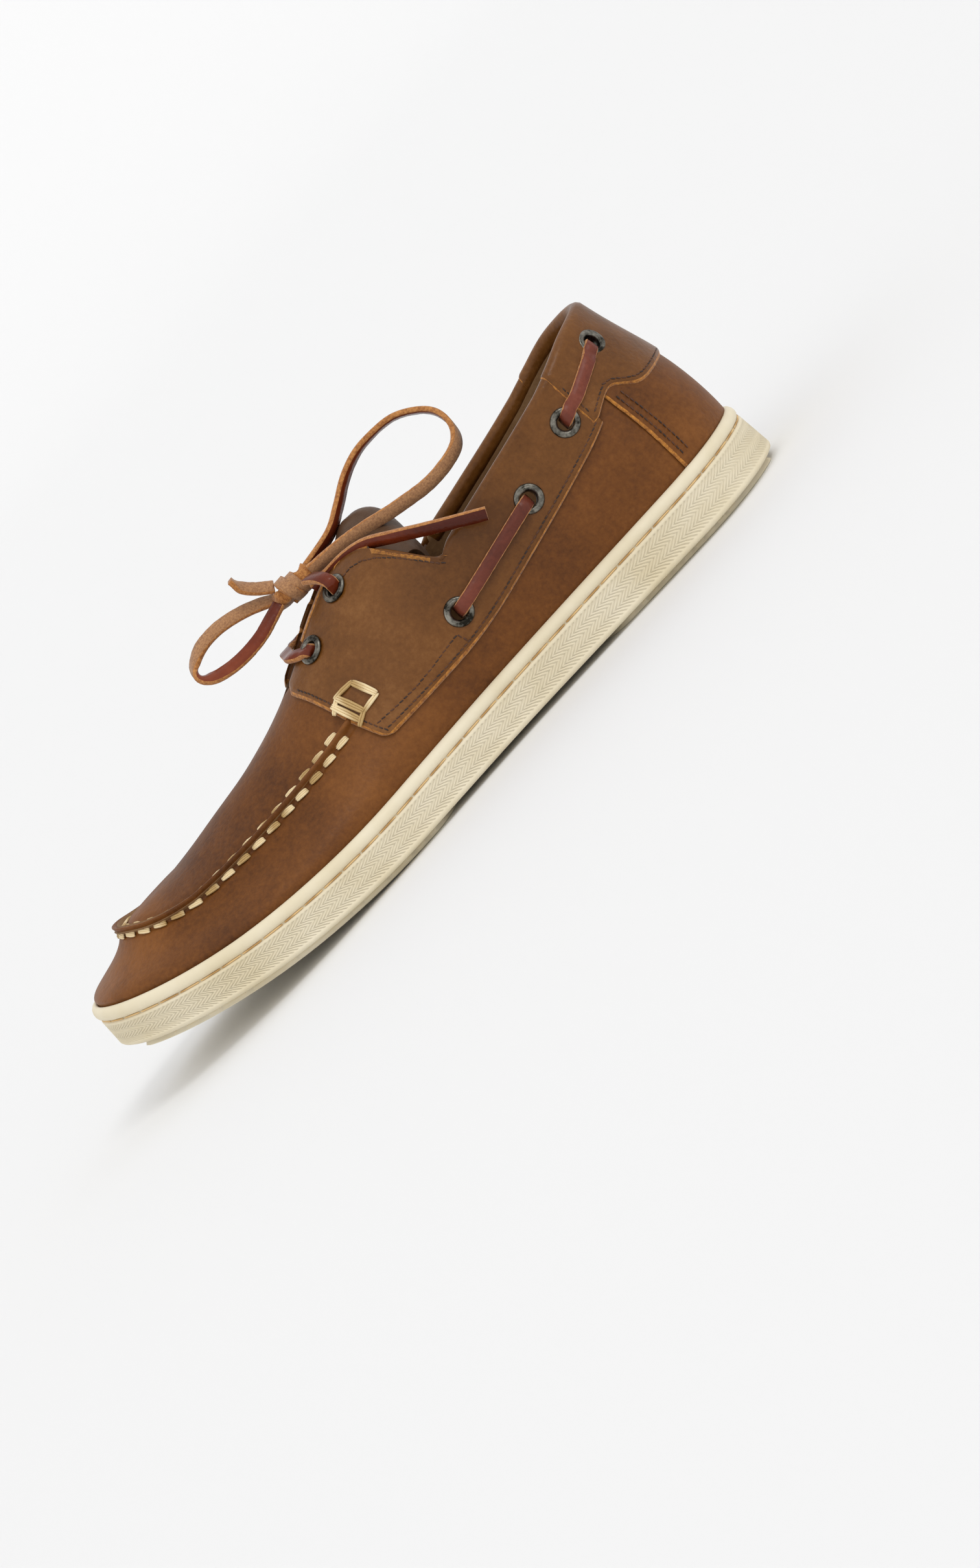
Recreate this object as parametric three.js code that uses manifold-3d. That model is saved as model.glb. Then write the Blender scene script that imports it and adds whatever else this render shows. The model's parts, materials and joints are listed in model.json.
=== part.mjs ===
// Men's boat shoe, right foot: a rubber cup sole, a moccasin-toe leather upper with a laced saddle, and a
// leather lace that runs round the collar. Millimetres, +X to the toe, +Y to the inner (medial) side, +Z up.
// The origin is on the floor under the middle of the sole. Until the last step x is counted from the heel.
import * as THREE from 'three';
import { mergeVertices } from 'three/addons/utils/BufferGeometryUtils.js';
import Module from 'manifold-3d';

// ---- Driving sizes -------------------------------------------------------------------------------------
const LENGTH = 300; // of the sole
const TOE_SPRING = 21; // height of the sole's underside at the toe tip
const SPRING_FROM = 172; // where the underside leaves the floor
const MIDDLE = 2.4; // brings the sole's middle to the origin, since its outer side is the fuller one
const TREAD = 2.4; // the heel and forefoot treads stand this proud of the sole's underside
const CUP_WALL = 4; // thickness of the sole's side wall
const CUP_FLOOR = 5.5; // thickness of the sole above its treads
const GAP = 0.3; // between pieces that meet
const LIFT = 0.75; // of the saddle pieces off the upper, whose facets differ a little from theirs
const LEATHER = 2; // wall of the upper
const OVERLAY = 1.6; // thickness of saddle, cuff and counter
const INSOLE = 4;
const TONGUE = 2.6;
const HEEL_CENTRE = 48; // ribs behind this point fan out round it
const TOE_CENTRE = 245; // ribs ahead of this point fan out round it
const THROAT = 14; // half the gap between the saddle's two wings
const EYELET = { flange: 5.2, hole: 2.5, barrel: 3.4, rise: 0.9 };
const RIDGE = { height: 2, from: 174 }; // the raised moccasin seam
const LACE = { width: 4.8, thick: 1.9 };

// Half widths of the sole, to the inner and the outer side, and its height above its own underside.
const SOLE_TABLE = [
  { x: 0, inner: 35, outer: 36, height: 22.5 },
  { x: 40, inner: 37.5, outer: 38.5, height: 22 },
  { x: 85, inner: 37.5, outer: 41.5, height: 21.3 },
  { x: 125, inner: 38.5, outer: 47, height: 20.6 },
  { x: 160, inner: 43.5, outer: 54, height: 20 },
  { x: 195, inner: 49.5, outer: 58, height: 19.4 },
  { x: 225, inner: 51.5, outer: 58, height: 19 },
  { x: 260, inner: 51, outer: 55, height: 18.6 },
  { x: 300, inner: 50, outer: 52, height: 18.4 },
];
// The two ends are rounded over these lengths, by superellipses with these powers.
const HEEL_END = { length: 40, power: 2.15 };
const TOE_END = { inner: 82, outer: 112, power: 2.2, shift: 5 };

// The shoulder line, by the x of the rib's foot: collar edge from the heel to x 106, then under the saddle,
// then the moccasin seam to the toe. Radius from the centre line, height, and the slopes of wall and top there.
const SHOULDER_TABLE = [
  { x: 0, inner: 34, outer: 34, z: 81.5, wall: 78, top: 60 },
  { x: 4, inner: 32.6, outer: 32.6, z: 81.2, wall: 78, top: 60 },
  { x: 18, inner: 30.4, outer: 30.6, z: 79.5, wall: 80, top: 60 },
  { x: 34, inner: 29.4, outer: 29.8, z: 76, wall: 84, top: 60 },
  { x: 60, inner: 29.5, outer: 30.5, z: 70, wall: 84, top: 65 },
  { x: 85, inner: 30.5, outer: 32.5, z: 64.8, wall: 82, top: 70 },
  { x: 106, inner: 31.5, outer: 34.5, z: 60.4, wall: 78, top: 74 },
  { x: 130, inner: 32, outer: 36.5, z: 54, wall: 74, top: 72 },
  { x: 155, inner: 32.5, outer: 37.5, z: 47.5, wall: 66, top: 62 },
  { x: 178, inner: 32.5, outer: 37, z: 43, wall: 60, top: 50 },
  { x: 205, inner: 30.5, outer: 34, z: 40.8, wall: 60, top: 36 },
  { x: 230, inner: 28.5, outer: 31, z: 40.6, wall: 62, top: 30 },
  { x: 250, inner: 27, outer: 28.5, z: 42, wall: 62, top: 24 },
  { x: 275, inner: 27, outer: 27.5, z: 45.6, wall: 62, top: 16 },
  { x: 292, inner: 27.5, outer: 27.5, z: 48.8, wall: 58, top: 8 },
  { x: 300, inner: 28, outer: 28, z: 50, wall: 54, top: 4 },
];
// Height of the top along the centre line: instep, then the apron down to the toe.
const CREST_TABLE = [
  { x: 100, z: 86.4 },
  { x: 118, z: 85 },
  { x: 135, z: 82 },
  { x: 150, z: 76.4 },
  { x: 165, z: 69.2 },
  { x: 180, z: 62.4 },
  { x: 200, z: 56.8 },
  { x: 222, z: 53.2 },
  { x: 245, z: 50.6 },
];
// Lower edge of the saddle and collar band.
const BAND_TABLE = [
  { x: 30, z: 54.2 },
  { x: 44, z: 50 },
  { x: 66, z: 44.2 },
  { x: 93, z: 38 },
  { x: 106, z: 35.2 },
  { x: 119, z: 33.4 },
  { x: 135, z: 32.8 },
  { x: 164, z: 32.8 },
];
// Eyelets of one side: x and height on the upper.
const EYELETS = [
  { name: 'heel', x: 12, z: 72 },
  { name: 'quarter_rear', x: 46, z: 61.5 },
  { name: 'quarter_front', x: 73, z: 53 },
  { name: 'saddle', x: 116, z: 44.5 },
  { name: 'throat_rear', x: 138, z: 76.5 },
  { name: 'throat_front', x: 158, z: 68 },
];

// ---- Tables and curves ---------------------------------------------------------------------------------
// Value of a column at x: a cubic through the rows, with slopes taken from their neighbours.
function read(table, column, x) {
  const last = table.length - 1;
  let i = 0;
  while (i < last - 1 && x > table[i + 1].x) i++;
  const slope = (k) => {
    const a = table[Math.max(k - 1, 0)];
    const b = table[Math.min(k + 1, last)];
    return (b[column] - a[column]) / (b.x - a.x);
  };
  const width = table[i + 1].x - table[i].x;
  const t = THREE.MathUtils.clamp((x - table[i].x) / width, 0, 1);
  const rise = table[i + 1][column] - table[i][column];
  const start = slope(i) * width;
  const end = slope(i + 1) * width;
  return table[i][column] + t * (start + t * (3 * rise - 2 * start - end + t * (start + end - 2 * rise)));
}

function bezier(p, t) {
  const s = 1 - t;
  const mix = (k) => s * s * s * p[0][k] + 3 * s * s * t * p[1][k] + 3 * s * t * t * p[2][k] + t * t * t * p[3][k];
  return [mix(0), mix(1)];
}

const lerp = THREE.MathUtils.lerp;
const superellipse = (share, power) => Math.pow(Math.max(0, 1 - Math.pow(share, power)), 1 / power);
const steps = (n) => Array.from({ length: n + 1 }, (_, i) => i / n);

// ---- Sole form -----------------------------------------------------------------------------------------
const underside = (x) => TOE_SPRING * Math.pow(Math.max(0, x - SPRING_FROM) / (LENGTH - SPRING_FROM), 2);
const rimTop = (x) => underside(x) + read(SOLE_TABLE, 'height', x);
const cupFloor = (x) => underside(x) + TREAD + CUP_FLOOR;
const centreLine = (x) => TOE_END.shift * Math.pow(Math.max(0, x - 150) / 150, 2);

// Half width of the sole at x on one side, with its rounded ends.
function halfWidth(x, side) {
  const column = side > 0 ? 'inner' : 'outer';
  const heel = superellipse(Math.max(0, 1 - x / HEEL_END.length), HEEL_END.power);
  const toe = superellipse(Math.max(0, 1 - (LENGTH - x) / TOE_END[column]), TOE_END.power);
  return read(SOLE_TABLE, column, x) * heel * toe;
}

// ---- Ribs ----------------------------------------------------------------------------------------------
// A rib is a vertical plane through the last, square to X between the two centres and fanned out beyond them.
function ribAt(x, side) {
  const foot = new THREE.Vector2(x, centreLine(x) + side * halfWidth(x, side));
  const axisX = THREE.MathUtils.clamp(x, HEEL_CENTRE, TOE_CENTRE);
  const axis = new THREE.Vector2(axisX, centreLine(axisX));
  const reach = foot.distanceTo(axis);
  const out = foot.clone().sub(axis).divideScalar(reach);
  return { side, x, axis, out, reach };
}

// Ribs once round the shoe: up the inner side from the heel to the toe, and back down the outer side.
function ribsRound(count) {
  return steps(count).slice(0, -1).map((t) => {
    const turn = 2 * t <= 1 ? 2 * t : 2 - 2 * t;
    const eased = turn + (0.35 / (2 * Math.PI)) * Math.sin(2 * Math.PI * turn);
    return ribAt((LENGTH / 2) * (1 - Math.cos(Math.PI * eased)), 2 * t <= 1 ? 1 : -1);
  });
}

const onRib = (r, radius, z) => new THREE.Vector3(r.axis.x + r.out.x * radius, r.axis.y + r.out.y * radius, z);

// The upper's outer face on a rib, as radius and height. h runs from -1 at the foot in the cup, by 0 at the
// rim and 1 at the shoulder, to 2 on the centre line.
function outerFace(r, h) {
  const foot = r.reach - CUP_WALL - GAP;
  const rim = rimTop(r.x);
  if (h <= 0) {
    const z = lerp(rim, cupFloor(r.x) + 1.6, -h);
    return [foot - 0.4 * h * h, z];
  }
  const column = r.side > 0 ? 'inner' : 'outer';
  const shoulder = [read(SHOULDER_TABLE, column, r.x), read(SHOULDER_TABLE, 'z', r.x)];
  const tall = shoulder[1] - rim;
  const chord = Math.hypot(foot - shoulder[0], tall);
  if (h <= 1) {
    const slope = THREE.MathUtils.degToRad(read(SHOULDER_TABLE, 'wall', r.x));
    const below = [shoulder[0] + 0.36 * chord * Math.cos(slope), shoulder[1] - 0.36 * chord * Math.sin(slope)];
    return bezier([[foot, rim], [foot + 1.6, rim + 0.38 * tall], below, shoulder], h);
  }
  const crest = [0, read(CREST_TABLE, 'z', r.axis.x)];
  const slope = THREE.MathUtils.degToRad(read(SHOULDER_TABLE, 'top', r.x));
  const far = 0.4 * Math.hypot(shoulder[0], crest[1] - shoulder[1]);
  const above = [shoulder[0] - far * Math.cos(slope), shoulder[1] + far * Math.sin(slope)];
  return bezier([shoulder, above, [0.45 * shoulder[0], crest[1]], crest], h - 1);
}

// A point on the upper, that far out from its outer face.
function surface(r, h, out = 0) {
  const step = 0.02;
  const here = outerFace(r, h);
  const a = outerFace(r, Math.max(h - step, -1));
  const b = outerFace(r, Math.min(h + step, 2));
  const along = Math.hypot(b[0] - a[0], b[1] - a[1]) || 1;
  const normal = h >= 2 ? [0, 1] : [(b[1] - a[1]) / along, -(b[0] - a[0]) / along];
  return onRib(r, Math.max(0, here[0] + out * normal[0]), here[1] + out * normal[1]);
}

// The h where a rib's outer face reaches a height, or comes within a distance of the centre line.
function search(low, high, passed) {
  let [a, b] = [low, high];
  for (let i = 0; i < 24; i++) {
    const middle = (a + b) / 2;
    if (passed(middle)) b = middle;
    else a = middle;
  }
  return (a + b) / 2;
}
const heightOn = (r, z) => search(0, 2, (h) => outerFace(r, h)[1] >= z);
const reachOn = (r, radius) => search(1, 2, (h) => outerFace(r, h)[0] <= radius);

// ---- Solids from grids ---------------------------------------------------------------------------------
// Closed geometry from quads of points. Corners at one place are shared, and quads with no area drop out.
function geometryOf(quads) {
  const places = new Map();
  const position = [];
  const index = [];
  const corner = (p) => {
    const key = [p.x, p.y, p.z].map((v) => Math.round(v * 1000)).join();
    if (!places.has(key)) {
      places.set(key, position.length / 3);
      position.push(p.x, p.y, p.z);
    }
    return places.get(key);
  };
  for (const quad of quads) {
    const [a, b, c, d] = quad.map(corner);
    for (const face of [[a, b, c], [a, c, d]]) {
      if (face[0] !== face[1] && face[1] !== face[2] && face[2] !== face[0]) index.push(...face);
    }
  }
  const geometry = new THREE.BufferGeometry();
  geometry.setAttribute('position', new THREE.Float32BufferAttribute(position, 3));
  geometry.setIndex(index);
  return geometry;
}

// Quads between neighbouring rows of a grid of points; a closed grid joins its last row to its first.
function quadsBetween(rows, closed = false) {
  const quads = [];
  const count = closed ? rows.length : rows.length - 1;
  for (let i = 0; i < count; i++) {
    const [a, b] = [rows[i], rows[(i + 1) % rows.length]];
    for (let j = 0; j + 1 < a.length; j++) quads.push([a[j], b[j], b[j + 1], a[j + 1]]);
  }
  return quads;
}

const ring = (grid, pick) => {
  const edge = grid.map(pick);
  return [...edge, edge[0]];
};
const firstOf = (row) => row[0];
const lastOf = (row) => row[row.length - 1];

// A plate between an outer and an inner grid of the same size, with its four edges closed.
function plate(outer, inner) {
  return geometryOf([
    ...quadsBetween(outer),
    ...quadsBetween(inner).map((q) => q.slice().reverse()),
    ...quadsBetween([outer.map(firstOf), inner.map(firstOf)]),
    ...quadsBetween([inner.map(lastOf), outer.map(lastOf)]),
    ...quadsBetween([inner[0], outer[0]]),
    ...quadsBetween([lastOf(outer), lastOf(inner)]),
  ]);
}

const wasm = await Module();
wasm.setup();

function solidOf(geometry) {
  const vertProperties = new Float32Array(geometry.getAttribute('position').array);
  const triVerts = new Uint32Array(geometry.index.array);
  const solid = new wasm.Manifold(new wasm.Mesh({ numProp: 3, vertProperties, triVerts }));
  if (solid.volume() > 0) return solid;
  for (let i = 0; i < triVerts.length; i += 3) [triVerts[i + 1], triVerts[i + 2]] = [triVerts[i + 2], triVerts[i + 1]];
  return new wasm.Manifold(new wasm.Mesh({ numProp: 3, vertProperties, triVerts }));
}

function geometryFrom(solid) {
  const mesh = solid.getMesh();
  const geometry = new THREE.BufferGeometry();
  geometry.setAttribute('position', new THREE.Float32BufferAttribute(mesh.vertProperties, 3));
  geometry.setIndex(Array.from(mesh.triVerts));
  return geometry;
}

// ---- Sole ----------------------------------------------------------------------------------------------
// Section of the cup on a rib: in from the side wall, and up from the underside or down from the rim.
function cupSection(r) {
  const under = underside(r.x) + TREAD;
  const rim = rimTop(r.x);
  const floor = cupFloor(r.x);
  const edge = r.reach;
  const flat = (radius, height) => onRib(r, radius, underside(r.axis.x + r.out.x * radius) + height);
  const shares = [0, 0.5];
  return [
    ...shares.map((t) => flat(t * edge, TREAD)),
    onRib(r, edge - 1.4, under),
    onRib(r, edge, under + 1.3),
    onRib(r, edge - 1.1, rim - 5.6),
    onRib(r, edge - 1.9, rim - 5),
    onRib(r, edge - 1.2, rim - 4.3),
    onRib(r, edge - 0.9, rim - 2.4),
    onRib(r, edge - 1.8, rim - 0.6),
    onRib(r, edge - 2.9, rim),
    onRib(r, edge - CUP_WALL, rim - 0.5),
    onRib(r, edge - CUP_WALL, floor + 1),
    flat(edge - CUP_WALL - 1.4, TREAD + CUP_FLOOR),
    ...shares.map((t) => flat(t * edge, TREAD + CUP_FLOOR)).reverse(),
  ];
}

// A plate that follows the sole's underside between two stations, rounded at the ends that stop short.
function soleplate(from, to, inset, low, high, roundEnd) {
  const stations = steps(22).map((t) => lerp(from, to, (1 - Math.cos(Math.PI * t)) / 2));
  const across = steps(6).map((t) => 2 * t - 1);
  const grid = (level) => stations.map((x) => {
    const end = superellipse(Math.max(0, 1 - (roundEnd > 0 ? to - x : x - from) / 16), 2);
    return across.map((share) => {
      const side = share >= 0 ? 1 : -1;
      const wide = Math.max(0, halfWidth(x, side) - inset) * end;
      return new THREE.Vector3(x, centreLine(x) + share * wide, level(x));
    });
  });
  return plate(grid(high), grid(low));
}

function makeSole() {
  const sections = ribsRound(64).map(cupSection);
  const cup = solidOf(geometryOf(quadsBetween(sections, true)));
  const treadTop = (x) => underside(x) + TREAD + 2.5;
  const heel = solidOf(soleplate(4, 92, 3, underside, treadTop, 1));
  const fore = solidOf(soleplate(158, 294, 3, underside, treadTop, -1));
  return geometryFrom(cup.add(heel).add(fore));
}

function makeInsole() {
  const low = (r, radius) => cupFloor(r.axis.x + r.out.x * radius) + 2 * GAP;
  const sections = ribsRound(48).map((r) => {
    const wide = r.reach - CUP_WALL - LEATHER - 3.4 * GAP;
    const radii = [0, 0.5, 1].map((share) => share * wide);
    const base = radii.map((radius) => onRib(r, radius, low(r, radius)));
    const top = radii.map((radius) => onRib(r, radius, low(r, radius) + INSOLE));
    return [...base, ...top.reverse()];
  });
  return geometryFrom(solidOf(geometryOf(quadsBetween(sections, true))));
}

// ---- Upper ---------------------------------------------------------------------------------------------
// Top edge of the upper on a rib, as h: the collar, the back of a wing, the throat, or closed over the toe.
function wingEdge(r) {
  const { x } = r;
  if (x <= 106) return 1;
  const throat = reachOn(r, THROAT);
  return x >= 134 ? throat : lerp(1, throat, Math.sin((Math.PI / 2) * ((x - 106) / 28)));
}

function topEdge(r) {
  if (r.x <= 158) return wingEdge(r);
  const open = THROAT * superellipse((r.x - 158) / 18, 2);
  return r.x >= 176 ? 2 : reachOn(r, open);
}

// Closed shell between two offsets of the outer face, from h = low up to the top edge.
function shell(outside, inside, low, edge) {
  const ribs = ribsRound(64);
  const cup = low < 0 ? [low, low / 2, 0] : [low];
  const rows = (out) => ribs.map((r) => {
    const top = edge(r);
    const ridge = RIDGE.height * THREE.MathUtils.smoothstep(r.x, RIDGE.from, RIDGE.from + 12);
    return [
      ...cup.map((h) => surface(r, h, out)),
      ...[0.25, 0.5, 0.73, 0.93].map((h) => surface(r, h, out)),
      surface(r, 1, out + (out >= 0 ? ridge : 0)),
      ...[0.1, 0.38, 0.7, 1].map((t) => surface(r, lerp(1, top, t), out)),
    ];
  });
  const [outer, inner] = [rows(outside), rows(inside)];
  const isOpen = ribs.map((r) => edge(r) < 2);
  return solidOf(geometryOf([
    ...quadsBetween(outer, true),
    ...quadsBetween(inner, true).map((q) => q.slice().reverse()),
    ...quadsBetween([ring(outer, firstOf), ring(inner, firstOf)]),
    ...quadsBetween([ring(inner, lastOf), ring(outer, lastOf)]).filter((_, i) => isOpen[i] || isOpen[(i + 1) % isOpen.length]),
  ]));
}

// A side view outline, as a prism through one side of the shoe or through both.
function prism(outline, from, to) {
  const shape = new THREE.Shape(outline.map(([x, z]) => new THREE.Vector2(x, z)));
  const block = new THREE.ExtrudeGeometry(shape, { depth: to - from, bevelEnabled: false });
  block.rotateX(Math.PI / 2).translate(0, to, 0);
  return solidOf(merged(block));
}

function merged(geometry) {
  return mergeVertices(geometry.deleteAttribute('normal').deleteAttribute('uv'), 1e-3);
}

// ---- Saddle, band, heel tab and counter ------------------------------------------------------------------
const bandEdge = (from, to, n) => steps(n).map((t) => lerp(from, to, t)).map((x) => [x, read(BAND_TABLE, 'z', x)]);
const SADDLE_OUTLINE = [...bandEdge(38, 160, 12), [163.5, 36], [168, 50], [171, 58], [174.5, 69], [174, 100], [38, 100]];
const TAB_OUTLINE = [
  [37.5, 100], [-5, 100], [-5, 50.8], [9.5, 50.8], [13, 51.2], [16, 52.4], [19.5, 55.4], [22, 58], [25, 58.4], [30, 56.8], [36.5, 54.2],
];
const COUNTER_OUTLINE = [
  [-5, 15], [27.5, 15], [27, 40], [26, 57.4], [25, 58], [22.4, 57.6], [19.8, 55], [16.3, 52], [13.2, 50.7], [9.5, 50.3], [-5, 50.3],
];

// The tongue lies under the saddle, inside the upper, and runs from the vamp up to its rounded end.
function makeTongue() {
  const stations = steps(12).map((t) => lerp(190, 110, t));
  const across = steps(8).map((t) => 1 - 2 * t);
  const grid = (out) => stations.map((x) => {
    const end = superellipse(Math.max(0, 1 - (x - 110) / 16), 2);
    return across.map((share) => {
      const r = ribAt(x, share >= 0 ? 1 : -1);
      const h = reachOn(r, Math.max(0.001, 25 * Math.abs(share) * Math.max(end, 0.12)));
      return surface(r, Math.abs(share) < 1e-6 ? 2 : h, out);
    });
  });
  return plate(grid(-LEATHER - 5 * GAP), grid(-LEATHER - 5 * GAP - TONGUE));
}

// ---- Eyelets -------------------------------------------------------------------------------------------
// Where an eyelet stands: its centre on the upper's outer face, and the way its axis points.
function seat(x, z, side) {
  const r = ribAt(x, side);
  const h = heightOn(r, z);
  const centre = surface(r, h);
  const ahead = ribAt(x + 2, side);
  const along = surface(ahead, heightOn(ahead, z)).sub(centre).normalize();
  const up = surface(r, Math.min(2, h + 0.03)).sub(centre).normalize();
  const axis = new THREE.Vector3().crossVectors(along, up).normalize();
  if (axis.dot(surface(r, h, 1).sub(centre)) < 0) axis.negate();
  return { centre, axis, stack: OVERLAY + LIFT };
}

function placeAlong(geometry, centre, axis) {
  const turn = new THREE.Quaternion().setFromUnitVectors(new THREE.Vector3(0, 0, 1), axis);
  return geometry.applyQuaternion(turn).translate(centre.x, centre.y, centre.z);
}

const lathe = (profile, sides) => {
  const points = profile.map(([radius, height]) => new THREE.Vector2(radius, height));
  return new THREE.LatheGeometry([...points, points[0]], sides).rotateX(Math.PI / 2);
};

function makeEyelet({ centre, axis, stack }) {
  const { flange, hole, barrel, rise } = EYELET;
  const seatTop = stack + 2 * GAP;
  const back = -LEATHER - GAP;
  return merged(placeAlong(lathe([
    [hole, back - 0.5],
    [barrel, back - 0.5],
    [barrel, seatTop],
    [flange, seatTop],
    [flange, seatTop + 0.75 * rise],
    [hole, seatTop + 0.75 * rise],
  ], 12), centre, axis));
}

function makeHole({ centre, axis }) {
  const drill = new THREE.CylinderGeometry(EYELET.barrel + 2 * GAP, EYELET.barrel + 2 * GAP, 14, 12).rotateX(Math.PI / 2);
  return solidOf(merged(placeAlong(drill, centre, axis)));
}

// ---- Lace ----------------------------------------------------------------------------------------------
// Flat strap along a route. across gives the direction of its width at each point.
function strap(route, across) {
  const { width, thick } = LACE;
  const section = [[1, 0], [0.86, 1], [0, 1], [-0.86, 1], [-1, 0], [-0.86, -1], [0, -1], [0.86, -1], [1, 0]];
  const rows = route.map((p, i) => {
    const along = route[Math.min(i + 1, route.length - 1)].clone().sub(route[Math.max(i - 1, 0)]).normalize();
    const wide = across[i].clone().addScaledVector(along, -across[i].dot(along)).normalize();
    const up = new THREE.Vector3().crossVectors(along, wide);
    return section.map(([a, b]) => p.clone().addScaledVector(wide, (a * width) / 2).addScaledVector(up, (b * thick) / 2));
  });
  const cap = (p, row) => row.map(() => p);
  const grid = [cap(route[0], rows[0]), ...rows, cap(lastOf(route), rows[0])];
  return geometryFrom(solidOf(geometryOf(quadsBetween(grid))));
}

// The lace outside the upper, from one eyelet to the next along the surface.
function makeRun(from, to, side) {
  const over = OVERLAY + LIFT + GAP + LACE.thick / 2;
  const rise = EYELET.rise + 2 * GAP;
  const route = [];
  const across = [];
  for (const t of steps(8)) {
    const r = ribAt(lerp(from.x, to.x, t), side);
    const h = heightOn(r, lerp(from.z, to.z, t));
    const p = surface(r, h, over + rise * Math.pow(Math.abs(2 * t - 1), 1.5) + 0.7);
    route.push(p);
    across.push(surface(r, Math.min(2, h + 0.05)).sub(surface(r, h)).normalize());
  }
  return strap(route, across);
}

// Lace routes over the instep, by hand. x, y and z of each point.
const BAR = [[158, 21.6, 72.6], [158, 17.5, 74.4], [158, 11, 76.2], [158, 0, 77], [158, -11, 76.9], [158, -17.5, 75.6], [158, -21.8, 73.6]];
const STRANDS = {
  inner: [[138, 19.2, 81.2], [139.2, 15.4, 84], [141.2, 11, 85.4], [142.8, 7.6, 86]],
  outer: [[138, -19.6, 82.4], [139.4, -16, 84.8], [141.4, -12, 86], [143, -8.6, 86.6]],
};
const KNOT = { centre: [147.3, -0.5, 87], radii: [6.4, 6, 4.8] };
const BOW = {
  lace_loop_rear: [
    [139.6, -2.5, 88], [126, -6, 89.7], [117.4, -9, 93.6], [108.6, -11, 98.5], [99.9, -12, 101.5], [91.5, -12, 102.1],
    [83.1, -11, 101.2], [76.6, -8.5, 98], [72, -5, 93.6], [70.6, -0.5, 88.6], [72, 4, 83.4], [76, 7.6, 80.2], [83, 9.4, 78.8],
    [91, 10, 78.6], [99, 9.6, 79.8], [107, 8.6, 81.4], [115, 7.4, 83.4], [123, 5.8, 85], [131, 4.4, 86], [139.6, 3, 86.8],
  ],
  lace_loop_front: [
    [155, -3.4, 88.2], [161, -4, 91.4], [168, -4.4, 94], [176, -4.8, 95.6], [184, -5, 95.2], [190.2, -4, 92.4], [191.6, -1, 88.8],
    [188, 3, 85.6], [181, 5.6, 83.9], [174, 6.4, 83.5], [167, 6, 84], [160.8, 4.8, 85.4], [155, 3.4, 86.8],
  ],
  lace_end_short: [[152, -1, 91.6], [156.6, -0.6, 95.6], [160, 0, 100], [160.8, 0.4, 104]],
  lace_end_long: [
    [143, 5.2, 81.6], [135, 8, 82], [127, 12, 82], [120, 18, 80.6], [113, 25, 76.8], [104, 32, 71.4], [95, 36.5, 66], [86.3, 38.6, 60.8],
  ],
};

function makeCord(points) {
  const curve = new THREE.CatmullRomCurve3(points.map((p) => new THREE.Vector3(...p)));
  const section = new THREE.Shape(steps(8).slice(0, -1).map((t) => {
    return new THREE.Vector2(1.4 * Math.cos(2 * Math.PI * t), 1.4 * Math.sin(2 * Math.PI * t));
  }));
  const tube = new THREE.ExtrudeGeometry(section, { extrudePath: curve, steps: Math.ceil(curve.getLength() / 9), bevelEnabled: false });
  return merged(tube);
}

function makeKnot() {
  return merged(new THREE.SphereGeometry(1, 10, 7).scale(...KNOT.radii).translate(...KNOT.centre));
}

// ---- Assembly ------------------------------------------------------------------------------------------
const shoe = new THREE.Group();
const materials = {
  rubber: new THREE.MeshStandardMaterial({ color: '#e4d8b8', roughness: 0.6 }),
  leather: new THREE.MeshStandardMaterial({ color: '#6b3f1e', roughness: 0.55 }),
  saddle: new THREE.MeshStandardMaterial({ color: '#80522f', roughness: 0.45 }),
  lining: new THREE.MeshStandardMaterial({ color: '#8a6645', roughness: 0.7 }),
  lace: new THREE.MeshStandardMaterial({ color: '#5a2a1a', roughness: 0.6 }),
  metal: new THREE.MeshStandardMaterial({ color: '#8c8780', roughness: 0.35, metalness: 1 }),
};
function add(name, geometry, material) {
  const mesh = new THREE.Mesh(geometry, materials[material]);
  mesh.name = name;
  shoe.add(mesh);
}

const seats = [];
for (const side of [1, -1]) {
  for (const { name, x, z } of EYELETS) {
    seats.push({ name: `eyelet_${side > 0 ? 'inner' : 'outer'}_${name}`, ...seat(x, z, side) });
  }
}
const holes = seats.map(makeHole).reduce((all, one) => all.add(one));
const upper = shell(0, -LEATHER, -1, topEdge).subtract(holes);
const cover = shell(LIFT + OVERLAY, LIFT, 0.02, wingEdge).subtract(holes);

add('cup_sole', makeSole(), 'rubber');
add('insole', makeInsole(), 'lining');
add('upper', geometryFrom(upper), 'leather');
add('tongue', makeTongue(), 'lining');
add('saddle_inner', geometryFrom(cover.intersect(prism(SADDLE_OUTLINE, 1, 80))), 'saddle');
add('saddle_outer', geometryFrom(cover.intersect(prism(SADDLE_OUTLINE, -80, -1))), 'saddle');
add('heel_tab', geometryFrom(cover.intersect(prism(TAB_OUTLINE, -80, 80))), 'saddle');
add('heel_counter', geometryFrom(cover.intersect(prism(COUNTER_OUTLINE, -80, 80))), 'saddle');
for (const { name, ...where } of seats) add(name, makeEyelet(where), 'metal');

const spots = Object.fromEntries(EYELETS.map((spot) => [spot.name, spot]));
for (const [side, word] of [[1, 'inner'], [-1, 'outer']]) {
  add(`lace_run_${word}_rear`, makeRun(spots.heel, spots.quarter_rear, side), 'lace');
  add(`lace_run_${word}_front`, makeRun(spots.quarter_front, spots.saddle, side), 'lace');
  const strand = STRANDS[word].map((p) => new THREE.Vector3(...p));
  add(`lace_strand_${word}`, strap(strand, strand.map(() => new THREE.Vector3(1, 0, 0.2))), 'lace');
}
const bar = BAR.map((p) => new THREE.Vector3(...p));
add('lace_bar', strap(bar, bar.map(() => new THREE.Vector3(1, 0, 0))), 'lace');
add('lace_knot', makeKnot(), 'lace');
for (const [name, points] of Object.entries(BOW)) add(name, makeCord(points), 'lace');

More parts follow.
